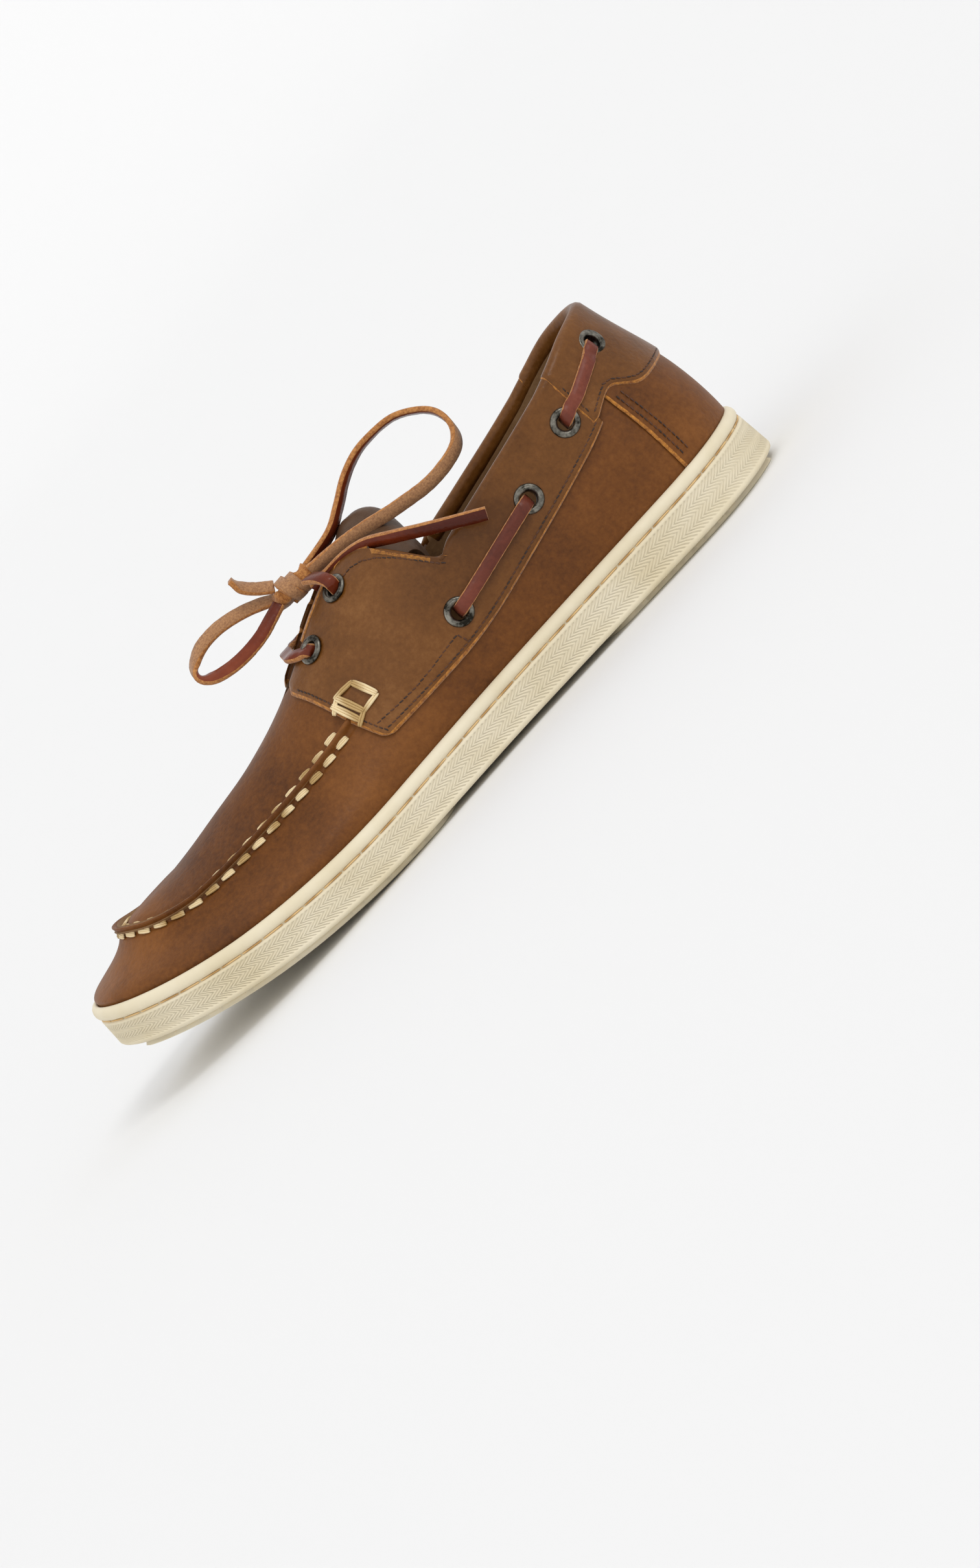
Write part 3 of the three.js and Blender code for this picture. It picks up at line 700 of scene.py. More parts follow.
def thicken(piece, thick, rim=1, back=0, bevel=0.35, turn=True):
    """Gives a leather sheet its wall, with a cut edge and slightly rounded corners."""
    if turn:
        face_out(piece)
    solid = piece.modifiers.new("Wall", "SOLIDIFY")
    solid.thickness, solid.offset = thick / 1000, -1
    solid.material_offset_rim, solid.material_offset = rim, back
    if bevel:
        edge = piece.modifiers.new("Edge", "BEVEL")
        edge.width, edge.segments, edge.angle_limit = bevel / 1000, 2, math.radians(55)
        edge.harden_normals = False
    apply_all(piece)


def settle(piece, slot, *nodes):
    """Rides the piece on the shoe, names its finish slot and the CAD nodes that it stands for."""
    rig.ride(piece, "root")
    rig.slot(piece, slot)
    if nodes:
        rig.replaces(piece, *nodes)
    return piece


class Seat:
    """An eyelet's place: the point on the upper's face and the way its axis points."""

    def __init__(self, x, z, side):
        rib = Rib(x, side)
        h = rib.at_height(z)
        self.x, self.z, self.side = x, z, side
        self.centre = rib.point(h)
        ahead = Rib(x + 2, side)
        along = (ahead.point(ahead.at_height(z)) - self.centre).normalized()
        up = (rib.point(min(2, h + 0.03)) - self.centre).normalized()
        self.axis = along.cross(up).normalized()
        if self.axis.dot(rib.outward(h)) < 0:
            self.axis.negate()
        self.along, self.up = along, self.axis.cross(along)

    def holds(self, p, radius=4.3):
        """True where a point lies within the punched hole."""
        d = p - self.centre
        return abs(d.dot(self.axis)) < 6 and (d - self.axis * d.dot(self.axis)).length < radius


SEATS = {side: [Seat(row["x"], row["z"], side) for row in EYELET_TABLE] for side in (1, -1)}


def punched(points, faces, materials=None):
    """The faces left after the eyelet holes are punched."""
    seats = SEATS[1] + SEATS[-1]
    kept, kept_materials = [], []
    for n, face in enumerate(faces):
        middle = sum((points[i] for i in face), Vector()) / len(face)
        if not any(seat.holds(middle) for seat in seats):
            kept.append(face)
            if materials is not None:
                kept_materials.append(materials[n])
    return kept, kept_materials


# ---- Sole ----------------------------------------------------------------------------------------
# The welt band over the stitch groove, from the wall's top inwards: inset from the outline, drop from the rim.
WELT_TABLE = table(
    "inset drop",
    (1.15, 5.5), (1.9, 5.2), (1.95, 4.7), (1.25, 4.35), (0.8, 3.7), (0.62, 2.9), (0.75, 1.9), (1.25, 0.9),
    (2.1, 0.25), (2.9, 0.0), (3.6, 0.15), (CUP_WALL, 0.7),
)


def make_sole(props):
    """The cup sole: welt band, stitch groove, chevron-ribbed side wall, floor and underside."""
    pitch = props.rib_pitch
    columns = int(round(outline_length() / pitch)) * 3
    columns -= columns % 6
    ribs = ribs_round(columns)
    swing = 7
    # The side wall's rows: share of its height, sideways shift in columns, and depth of the ribs' grooves.
    wall = table(
        "share shift depth",
        (0.0, 0, 0), (0.06, 0, 0),
        (0.085, 0, 1), (0.19, swing // 2, 1), (0.295, swing, 1), (0.4, swing // 2, 1), (0.5, 0, 1),
        (0.6, swing // 2, 1), (0.71, swing, 1), (0.81, swing // 2, 1), (0.915, 0, 1),
        (0.94, 0, 0), (1.0, 0, 0),
    )
    rows = []
    for i in range(columns):
        line = []
        r = ribs[i]
        edge = r.reach

        def flat(radius, height, rib=r):
            return rib.at(radius, underside(rib.axis.x + rib.out.x * radius) + height)

        for share in (0, 0.3, 0.6, 0.85):
            line.append(flat(share * edge, TREAD))
        line.append(flat(edge - 4.4, TREAD))
        line.append(flat(edge - 3.9, TREAD + 0.9))
        line.append(flat(edge - 3.1, TREAD + 0.9))
        line.append(flat(edge - 2.5, TREAD))
        line.append(flat(edge - 1.3, TREAD + 0.05))
        line.append(r.at(edge - 0.35, underside(r.x) + TREAD + 0.5))
        for row in wall:
            q = ribs[(i + row["shift"]) % columns]
            low, high = underside(q.x) + TREAD + 1.3, q.rim - 5.7
            cut = props.rib_depth * row["depth"] * (1.0 if i % 3 == 0 else 0.12 * (i % 3 == 1))
            lean = 0.9 * row["share"]
            line.append(q.at(q.reach - lean - cut, lerp(low, high, row["share"])))
        line += [r.at(edge - row["inset"], r.rim - row["drop"]) for row in WELT_TABLE]
        line.append(r.at(edge - CUP_WALL, cup_floor(r.x) + 1))
        line.append(flat(edge - CUP_WALL - 1.4, TREAD + CUP_FLOOR))
        line += [flat(share * edge, TREAD + CUP_FLOOR) for share in (0.6, 0.3, 0)]
        rows += line
    faces = grid_faces(columns, len(rows) // columns, round_rows=True)
    sole = new_piece("Cup_Sole", rows, faces, ["rubber"])
    weld(sole)
    treads = [make_tread("Heel_Tread", 5, 91, 1), make_tread("Forefoot_Tread", 159, 293, -1)]
    settle(sole, "rubber", "cup_sole")
    for tread in treads:
        settle(tread, "rubber")
    # The thread lies in the groove under the welt band, in long stitches with a nip between them.
    places = []
    count = int(outline_length() / props.sole_stitch)
    ring = ribs_round(count * 2)
    for i in range(0, len(ring), 2):
        a, r, b = ring[i - 1], ring[i], ring[(i + 1) % len(ring)]
        along = b.at(b.reach, b.rim) - a.at(a.reach, a.rim)
        places.append((r.at(r.reach - 1.45, r.rim - 4.92), along, Vector((r.out.x, r.out.y, 0))))
    length = props.sole_stitch * 0.95
    settle(stitching("Welt_Stitching", places, (length, 0.55, 0.5), "sole_thread"), "rubber")


def outline_length():
    """Length of the sole's outline, once round."""
    fine = steps(300)
    total = 0.0
    for side in (1, -1):
        feet = [Vector((LENGTH / 2 * (1 - math.cos(math.pi * t)), 0)) for t in fine]
        feet = [Vector((p.x, centre_line(p.x) + side * half_width(p.x, side))) for p in feet]
        total += sum((b - a).length for a, b in zip(feet, feet[1:]))
    return total


def make_tread(name, start, end, round_end):
    """One raised tread with wavy sipes cut across it."""
    rows, columns = int((end - start) / 0.9), 72
    points = []
    for i in range(rows + 1):
        x = lerp(start, end, i / rows)
        stop = superellipse(max(0.0, 1 - (end - x if round_end > 0 else x - start) / 16), 2.4)
        for j in range(columns + 1):
            share = 2 * j / columns - 1
            side = 1 if share >= 0 else -1
            wide = max(0.0, half_width(x, side) - 4.6) * stop
            y = share * wide
            wave = math.sin(2 * math.pi * (x + 2.2 * math.sin(2 * math.pi * y / 17)) / 5.4)
            inner = min(1.0, (wide - abs(y)) / 2.5, (x - start) / 3, (end - x) / 3)
            cut = 1.5 * smooth(wave, 0.62, 0.8) * smooth(inner, 0.5, 1)
            round_off = 0.5 * (1 - smooth(inner, 0, 0.3))
            points.append(Vector((x, centre_line(x) + y, underside(x) + cut + round_off)))
    tread = new_piece(name, points, [f[::-1] for f in grid_faces(rows + 1, columns + 1)], ["rubber"])
    weld(tread, outwards=False)
    thicken(tread, TREAD + 0.6, rim=0, bevel=0, turn=False)
    return tread


def strand_mesh(segments=8):
    """One thread lying along X, a unit long: a slim rounded spindle."""
    points = []
    profile = [(-0.5, 0.0), (-0.47, 0.32), (-0.38, 0.47), (0, 0.52), (0.38, 0.47), (0.47, 0.32), (0.5, 0.0)]
    for x, radius in profile:
        for k in range(segments):
            a = 2 * math.pi * k / segments
            points.append(Vector((x, radius * math.cos(a), radius * math.sin(a))))
    faces = grid_faces(len(profile), segments, round_columns=True)
    return points, faces


def stitching(name, places, size, finish, strands=1, sag=0.0, twist=0.0):
    """Stitches of one size, each at (centre, direction, outward way), laid as one piece."""
    unit, unit_faces = strand_mesh()
    points, faces = [], []
    for centre, along, outward in places:
        along = along.normalized()
        outward = (outward - along * outward.dot(along)).normalized()
        across = along.cross(outward)
        for k in range(strands):
            shift = (k - (strands - 1) / 2) * size[1] * 0.92
            start = len(points)
            for p in unit:
                bulge = sag * (1 - (2 * p.x) ** 2)
                tuck = 1.0 - 0.28 * abs(2 * p.x) ** 3 * (strands > 1)
                points.append(
                    centre
                    + along * (p.x * size[0])
                    + across * (p.y * size[1] + shift * tuck + twist * p.x * size[1])
                    + outward * (p.z * size[2] + bulge)
                )
            faces += [tuple(start + n for n in face) for face in unit_faces]
    piece = new_piece(name, points, faces, [finish])
    weld(piece)
    return piece


def along_surface(path, out, side, pitch):
    """Places for stitches along a line on the upper, given as (x, height or share above 1) points."""
    dense = []
    for (x0, h0), (x1, h1) in zip(path, path[1:]):
        n = max(2, int(math.hypot(x1 - x0, h1 - h0)))
        for k in range(n):
            dense.append((lerp(x0, x1, k / n), lerp(h0, h1, k / n)))
    dense.append(path[-1])
    spots = []
    for x, z in dense:
        r = Rib(x, side)
        h = r.at_height(z)
        spots.append((r.point(h, out), r.outward(h)))
    return spaced(spots, pitch)


def spaced(spots, pitch, start=0.5):
    """Evenly spaced (centre, direction, outward) places along a run of (point, outward) spots."""
    run = [0.0]
    for (a, _), (b, _) in zip(spots, spots[1:]):
        run.append(run[-1] + (b - a).length)
    count = max(1, int(run[-1] / pitch))
    step = run[-1] / count
    places, k = [], 0
    for i in range(count):
        goal = step * (i + start)
        while k < len(run) - 2 and run[k + 1] < goal:
            k += 1
        t = (goal - run[k]) / max(1e-6, run[k + 1] - run[k])
        (a, out_a), (b, out_b) = spots[k], spots[k + 1]
        places.append((a.lerp(b, t), b - a, out_a.lerp(out_b, t)))
    return places


# A cut edge's section: distance in from the edge, and how far below the full face it lies, in millimetres.
CUT_TABLE = table("d drop", (0, 1.3), (0.4, 0.75), (0.85, 0.35), (1.7, 0.0))
CUT_STRIPS = 2


def spread(length, count, first=False, last=False):
    """Shares from 0 to 1 in even steps, with the fine steps of a cut edge at either end."""
    fine = [row["d"] / length for row in CUT_TABLE]
    a, b = (fine[-1] if first else 0.0), (1 - fine[-1] if last else 1.0)
    even = [lerp(a, b, t) for t in steps(count)]
    start = fine[:-1] if first else []
    end = [1 - d for d in reversed(fine[:-1])] if last else []
    return start + even + end


def cut_drop(*distances):
    """How far a face falls away near its cut edges."""
    return max(read(CUT_TABLE, "drop", min(max(d, 0.0), 1.7), "d") for d in distances)


def roll_over(r, top, out, size):
    """Points that fold a collar piece over the upper's top edge; at size 0 they all meet on the piece's edge."""
    rad, z = r.face(top)
    n = r.normal(top)
    t = (-n[1], n[0])
    edge = r.point(top, out)
    radius, middle = (out + 2.4) / 2, (out - 2.4) / 2
    turn = []
    for k in range(1, 7):
        a = math.pi * k / 6
        turn.append((middle + radius * math.cos(a), radius * math.sin(a)))
    turn += [(middle - radius, -down) for down in (1.2, 3.0)]
    if size < 0.1:
        return [edge] * len(turn)
    rolled = [r.at(rad + n[0] * across + t[0] * up, z + n[1] * across + t[1] * up) for across, up in turn]
    return [edge.lerp(p, size) for p in rolled]


# ---- Upper ---------------------------------------------------------------------------------------
# The moccasin seam's section: share past the shoulder line, and how far out of the face, in millimetres.
RIDGE_TABLE = table(
    "h out",
    (0.9, 0), (0.93, -0.2), (0.955, -0.45), (0.975, -0.2), (0.988, 0.7), (0.997, 1.9), (1.005, 2.7), (1.016, 3.0),
    (1.028, 2.8), (1.038, 1.9), (1.045, 0.6), (1.055, -0.9), (1.085, -1.0), (1.13, -0.5), (1.2, 0),
)


def make_upper(props):
    """Vamp, quarters and apron as one leather shell with the raised moccasin seam, and its lining."""
    ribs = ribs_round(470)
    low = [-1, -0.5, -0.12, 0] + [0.9 * t for t in steps(19)[1:-1]]
    high = [lerp(1.25, 2, t) for t in steps(20)]
    points = []
    for r in ribs:
        top = r.top_edge()
        ridge = smooth(r.x, 160, 170)
        share = smooth(top, 1.0, 1.3)
        for h in low:
            p = r.point(h)
            points.append(r.point(h, sway(p, 16, 0.28) * smooth(h, 0, 0.3)))
        for row in RIDGE_TABLE:
            h = row["h"] if row["h"] <= 1 else lerp(1, row["h"], share)
            points.append(r.point(min(h, top)) + r.outward(1.0) * (row["out"] * ridge))
        for h in high:
            h = lerp(1, top, (h - 1)) if top < 2 else h
            p = r.point(h)
            points.append(r.point(max(h, min(top, 1.0)), sway(p, 18, 0.3)))
    columns = len(low) + len(RIDGE_TABLE) + len(high)
    faces = grid_faces(len(ribs), columns, round_rows=True)
    faces, _ = punched(points, faces)
    upper = new_piece("Leather_Upper", points, faces, ["vamp", "collar", "lining"])
    weld(upper, 0.01)
    thicken(upper, props.leather, rim=1, back=2, bevel=0.4)
    settle(upper, "leather", "upper")
    make_moccasin_stitches(props)


def make_moccasin_stitches(props):
    """Thick hand stitches on both sides of the raised seam."""
    rows = table("edge h out start", ("Vamp", 0.962, 0.25, 170), ("Apron", 1.075, -0.25, 172))
    for row in rows:
        line = []
        for r in ribs_round(400):
            if r.x > row["start"]:
                line.append((r.point(row["h"]) + r.outward(1.0) * row["out"], r.outward(row["h"])))
        places = spaced(line, props.moc_pitch)
        name, size = f"Moccasin_Stitches_{row['edge']}", (5.4, 0.85, 1.0)
        settle(stitching(name, places, size, "moc_thread", strands=3, sag=0.3, twist=0.9), "lining")


# Length, width and height of one brown seam stitch.
SEAM_STITCH = (1.62, 0.5, 0.45)
# How far its middle stands off the leather.
SEAM_STAND = 0.05


def make_saddle(props, side):
    """The saddle's wing and the collar band that runs back from it, one leather piece on each side."""
    word = "Inner" if side > 0 else "Outer"
    shares, heights = spread(124, 128, last=True), spread(30, 52, first=True)
    points = []
    for a in shares:
        for b in heights:
            x = lerp(BAND_BACK, read(FRONT_TABLE, "x", b, "share"), a)
            r = Rib(x, side)
            low, high = r.at_height(read(BAND_TABLE, "z", x)), r.wing_edge()
            h = lerp(low, high, b)
            p = r.point(h)
            ragged = 0.3 * noise.noise(p * 0.6)
            drop = cut_drop(30 * b + ragged, 124 * (1 - a) + ragged)
            points.append(r.point(h, SADDLE_OUT - drop + sway(p, 20, 0.3)))
        points += roll_over(r, high, SADDLE_OUT - drop, 1 - smooth(r.x, 100, 110))
    columns = len(heights) + 8
    faces = grid_faces(len(shares), columns)
    kinds = [
        1 if n % (columns - 1) < CUT_STRIPS or n // (columns - 1) >= len(shares) - 1 - CUT_STRIPS else 0
        for n in range(len(faces))
    ]
    faces, kinds = punched(points, faces, kinds)
    saddle = new_piece(f"Saddle_{word}", points, faces, ["saddle", "raw", "lining"], kinds)
    weld(saddle, 0.01)
    thicken(saddle, 2.0, rim=1, back=0, bevel=0)
    settle(saddle, "saddle_leather", f"saddle_{word.lower()}")
    # Rows of brown thread: front edge, lower edge, the back of the wing, and the short second row.
    pitch, out = props.seam_pitch, SADDLE_OUT + SEAM_STAND
    places = []
    front = [(x - 2.4, z) for x, z in front_line(side)]
    places += along_surface(front, out, side, pitch)
    lower = [(x, read(BAND_TABLE, "z", x) + 2.4) for x in range(38, 160, 4)] + [(160, 35.2)]
    second = [(161.6, 38.4), (151.9, 37.9), (143.5, 37.8), (135.1, 38.4), (126.6, 39.5), (122, 39.9)]
    places += along_surface(lower, out, side, pitch)
    places += along_surface(second, out, side, pitch)
    places += along_surface([(122, 39.9), (120.8, 36)], out, side, pitch)
    wing = []
    for x in (107, 109, 112, 115, 118, 122, 126, 130, 134):
        r = Rib(x, side)
        wing.append((x, r.face(lerp(1, r.wing_edge(), 0.9 if x > 110 else 0.8))[1] - 2.4))
    places += along_surface(wing, out, side, pitch)
    seams = stitching(f"Saddle_Seams_{word}", places, SEAM_STITCH, "brown_thread", twist=0.4)
    settle(seams, "saddle_leather")
    make_box_stitch(side, word)


def front_line(side):
    """The saddle's front edge as (x, height) points."""
    line = []
    for b in (0.05, 0.15, 0.3, 0.45, 0.6, 0.75, 0.9):
        x = read(FRONT_TABLE, "x", b, "share")
        r = Rib(x, side)
        low, high = r.at_height(read(BAND_TABLE, "z", x)), r.wing_edge()
        line.append((x, r.face(lerp(low, high, b))[1]))
    return line


def make_box_stitch(side, word):
    """The hand-sewn box that ties the moccasin seam to the saddle's front edge."""

    def on(x, z):
        r = Rib(x, side)
        h = r.at_height(z)
        return r.point(h, 2.5), r.outward(h)

    # Each stitch's two ends, how far it lies over the others, and how many strands it has.
    stitches = table(
        "x0 z0 x1 z1 over strands",
        (157.2, 52.2, 154.4, 45.2, 0.5, 3),
        (164.6, 52.0, 161.6, 44.2, 0.5, 3),
        (167.6, 51.2, 164.6, 43.0, 0.5, 3),
        (165.2, 52.6, 157.2, 52.8, 0, 2),
        (161.6, 43.9, 154.2, 44.9, 0, 2),
        (169.2, 49.2, 164.4, 52.4, 0, 2),
        (166.0, 41.6, 161.4, 44.0, 0, 2),
    )
    places = []
    for row in stitches:
        start, outward = on(row["x0"], row["z0"])
        end = on(row["x1"], row["z1"])[0]
        places.append(((start + end) / 2 + outward * row["over"], end - start, outward, row["strands"]))
    for k, (centre, along, outward, strands) in enumerate(places):
        size = (along.length * 1.12, 0.95, 1.2)
        name = f"Box_Stitch_{word}_{k + 1}"
        stitch = stitching(name, [(centre, along, outward)], size, "moc_thread", strands=strands, sag=0.45)
        settle(stitch, "lining")


def make_heel(props):
    """The heel tab that closes the collar at the back, and the counter piece under it."""

    def tab_low(r):
        return r.at_height(read(TAB_TABLE, "z", r.x))

    def band(name, front, out, lower, finish, node, rolled):
        half = [front * (1 - t) ** 1.7 for t in spread(front * 1.7, 58, first=True)]
        ends = [(x, 1) for x in half] + [(x, -1) for x in reversed(half[:-1])]
        heights = spread(28, 34, first=rolled)
        points = []
        for x, side in ends:
            r = Rib(x, side)
            low = lower(r)
            high = 1.0 if rolled else tab_low(r) + 0.03
            for b in heights:
                p = r.point(lerp(low, high, b))
                ragged = 0.35 * noise.noise(p * 0.6)
                drop = cut_drop(front - x + ragged, 28 * b + ragged if rolled else 9)
                points.append(r.point(lerp(low, high, b), out - drop * min(1, out / 2.2) + sway(p, 18, 0.25)))
            if rolled:
                points += roll_over(r, 1.0, out - cut_drop(front - x), 1.0)
        columns = len(heights) + (8 if rolled else 0)
        faces = [f[::-1] for f in grid_faces(len(ends), columns)]
        kinds = []
        for n in range(len(faces)):
            strip, step = n // (columns - 1), n % (columns - 1)
            at_end = min(strip, len(ends) - 2 - strip) < CUT_STRIPS
            kinds.append(1 if at_end or (rolled and step < CUT_STRIPS) else 0)
        faces, kinds = punched(points, faces, kinds)
        piece = new_piece(name, points, faces, [finish, "raw", "lining"], kinds)
        weld(piece, 0.01)
        thicken(piece, 2.0, rim=1, back=0, bevel=0)
        settle(piece, "saddle_leather", node)

    band("Heel_Tab", TAB_FRONT, TAB_OUT, tab_low, "saddle", "heel_tab", True)
    band("Heel_Counter", COUNTER_FRONT, COUNTER_OUT, lambda r: 0.004, "vamp", "heel_counter", False)
    places = []
    for side in (1, -1):
        tab_x = (0, 3, 6, 9, 12, 15, 18, 20, 22, 25, 28, 32, 36)
        edge = [(x, read(TAB_TABLE, "z", x) + 2.2) for x in tab_x]
        places += along_surface(edge, TAB_OUT + SEAM_STAND, side, props.seam_pitch)
        front = [(TAB_FRONT - 2.3, z) for z in (58, 62, 66, 70)]
        places += along_surface(front, TAB_OUT + SEAM_STAND, side, props.seam_pitch)
        # The counter's front edge has two rows, which stand a little prouder to clear its cut edge.
        for back in (2.4, 5.0):
            row = [(COUNTER_FRONT - back, z) for z in (26, 32, 40, 48, 55)]
            places += along_surface(row, COUNTER_OUT + 0.25, side, props.seam_pitch)
    settle(stitching("Heel_Seams", places, SEAM_STITCH, "brown_thread", twist=0.4), "saddle_leather")


# How far the middle of the tongue stands off the last, in millimetres: its end lifts and curls over.
TONGUE_TABLE = table(
    "x lift",
    (112, 4.2), (117, 4.8), (121, 5.4), (128, 3.2), (136, 0), (146, -1.2), (162, -1.2), (176, -3.5), (192, -3.5),
)


def make_tongue(props):
    """The soft tongue under the saddle, with its rounded end curling over behind it."""
    columns = 44
    rows = [(lerp(190, 117, t), 0.0, 0.0) for t in steps(84)]
    for degrees in range(8, 97, 8):
        a = math.radians(degrees)
        rows.append((117, 10 * math.sin(a), 10 * (1 - math.cos(a))))
    rows += [(117, 9.8, 9.0 + d) for d in (4, 7, 9)]
    grid = []
    for x, ahead, down in rows:
        line = []
        for j in range(columns + 1):
            share = 1 - 2 * j / columns
            r = Rib(x, 1 if share >= 0 else -1)
            wide = 25 * abs(share) * (1 - 0.22 * smooth(ahead + down, 0, 24) - 0.1 * smooth(down, 8, 18))
            h = 2.0 if wide < 1e-3 else r.at_radius(wide)
            hump = math.exp(-(((share + 0.3) / 0.45) ** 2)) if x < 136 else 1 - abs(share) ** 3
            p = r.point(h, lerp(-3.5, read(TONGUE_TABLE, "lift", x), hump))
            line.append(p + Vector((-ahead * (1 - 0.25 * share**2), 0, sway(p, 14, 0.4) - down)))
        grid.append(line)
    points = [p for line in grid for p in line]
    tongue = new_piece("Tongue", points, grid_faces(len(rows), columns + 1), ["collar", "raw", "lining"])
    weld(tongue, 0.01)
    thicken(tongue, props.tongue, rim=0, back=2, bevel=0.9)
    settle(tongue, "lining", "tongue")


def make_insole():
    """The leather-covered insole, slightly dished and rolled at its edge."""
    ribs = ribs_round(180)
    rows = []
    for r in ribs:
        wide = r.reach - CUP_WALL - LEATHER - 1.1

        def at(radius, height, rib=r):
            return rib.at(radius, cup_floor(rib.axis.x + rib.out.x * radius) + 0.6 + height)

        rows += [at(0, 0), at(wide * 0.5, 0), at(wide, 0.1), at(wide, 3.2)]
        rows += [at(wide - 0.7, 3.9), at(wide - 2.5, 4.1)]
        rows += [at(wide * s, 3.4 + 0.6 * s * s) for s in (0.8, 0.6, 0.4, 0.2, 0)]
    insole = new_piece("Insole", rows, grid_faces(len(ribs), 11, round_rows=True), ["lining"])
    weld(insole)
    settle(insole, "lining", "insole")


# ---- Eyelets -------------------------------------------------------------------------------------
def make_eyelets(props):
    """Twelve domed ring eyelets, spun from one section and set through the leather."""
    radius, hole = props.eyelet / 2, props.eyelet_hole / 2
    profile = [
        (hole, -3.6), (hole + 0.5, -3.9), (radius - 0.6, -3.1), (radius - 0.5, -2.7), (hole + 0.6, -2.6),
        (hole + 0.6, 2.1), (radius - 0.1, 2.1), (radius, 2.35), (radius - 0.25, 2.75), (radius - 0.8, 3.1),
        (radius - 1.0, 3.02), (radius - 1.2, 3.12), (radius - 1.6, 3.24), (hole + 0.7, 3.1), (hole + 0.2, 2.75),
        (hole, 2.2), (hole, -3.6),
    ]
    mesh = bpy.data.meshes.new("eyelet_section")
    mesh.from_pydata([(r, 0, z) for r, z in profile], [(i, i + 1) for i in range(len(profile) - 1)], [])
    model = bpy.data.objects.new("eyelet_section", mesh)
    bpy.context.scene.collection.objects.link(model)
    only(model)
    bpy.ops.object.mode_set(mode="EDIT")
    bpy.ops.mesh.select_all(action="SELECT")
    bpy.ops.mesh.spin(steps=48, angle=2 * math.pi, center=(0, 0, 0), axis=(0, 0, 1))
    bpy.ops.mesh.remove_doubles(threshold=0.001)
    bpy.ops.mesh.normals_make_consistent(inside=False)
    bpy.ops.object.mode_set(mode="OBJECT")
    names = ["heel", "quarter_rear", "quarter_front", "saddle", "throat_rear", "throat_front"]
    for side, word in ((1, "inner"), (-1, "outer")):
        for seat, name in zip(SEATS[side], names):
            spun = [v.co for v in model.data.vertices]
            points = [seat.centre + seat.along * c.x + seat.up * c.y + seat.axis * c.z for c in spun]
            faces = [tuple(p.vertices) for p in model.data.polygons]
            eyelet = new_piece(f"Eyelet_{word}_{name}", points, faces, ["metal"])
            weld(eyelet)
            settle(eyelet, "eyelet_metal", f"eyelet_{word}_{name}")
    bpy.data.objects.remove(model)


# ---- Lace ----------------------------------------------------------------------------------------
def smooth_route(points, pieces=6):
    """A Catmull-Rom line through given points, with the across vectors blended the same way."""
    out = []
    last = len(points) - 1
    for i in range(last):
        a, b, c, d = (points[max(i - 1, 0)], points[i], points[i + 1], points[min(i + 2, last)])
        for k in range(pieces):
            t = k / pieces
            out.append(
                0.5 * ((2 * b) + (c - a) * t + (2 * a - 5 * b + 4 * c - d) * t * t + (3 * b - a - 3 * c + d) * t**3)
            )
    out.append(points[-1])
    return out


def strap(name, route, across, width, thick, materials, rough=0.12):
    """A flat leather lace: a smooth face, a sueded face and two cut edges. across is the way of its width."""
    section = [
        (1, -0.45), (1, 0.45), (0.9, 1), (0, 1.08), (-0.9, 1),
        (-1, 0.45), (-1, -0.45), (-0.9, -1), (0, -1.05), (0.9, -1),
    ]
    finish = [2, 2, 0, 0, 2, 2, 2, 1, 1, 2]
    rows = []
    for i, p in enumerate(route):
        along = (route[min(i + 1, len(route) - 1)] - route[max(i - 1, 0)]).normalized()
        wide = (across[i] - along * across[i].dot(along)).normalized()
        up = along.cross(wide)
        for k, (a, b) in enumerate(section):
            q = p + wide * (a * width / 2) + up * (b * thick / 2)
            cut = finish[k - 1] == 2 or finish[k] == 2
            fray = rough * noise.noise(q * 1.3) if cut else 0.03 * noise.noise(q * 0.9)
            rows.append(q + wide * (fray * a) + up * fray * 0.5)
    count, sides = len(route), len(section)
    faces = grid_faces(count, sides, round_columns=True)
    kinds = finish * (count - 1)
    faces += [tuple(reversed(range(sides))), tuple(range((count - 1) * sides, count * sides))]
    kinds += [2, 2]
    piece = new_piece(name, rows, faces, materials, kinds)
    weld(piece)
    return piece


def run_between(first, second, side):
    """A side run of lace: out of one eyelet, along the collar band, and into the next."""
    way = (second.centre - first.centre).normalized()
    rise = [(0.2, -2.2), (0.5, 0.6), (1.4, 2.7), (3.3, 4.15), (5.6, 4.3)]
    start = [first.centre + way * d + first.axis * out for d, out in rise]
    end = [second.centre + way * -d + second.axis * out for d, out in reversed(rise)]
    middle = []
    for t in (0.28, 0.42, 0.58, 0.72):
        r = Rib(lerp(first.x, second.x, t), side)
        h = r.at_height(lerp(first.z, second.z, t))
        middle.append(r.point(h, 3.5 + 0.12 * math.sin(9 * t)))
    points = start + middle + end
    route = smooth_route(points)
    up = smooth_route([first.up.lerp(second.up, i / (len(points) - 1)) for i in range(len(points))])
    return route, up
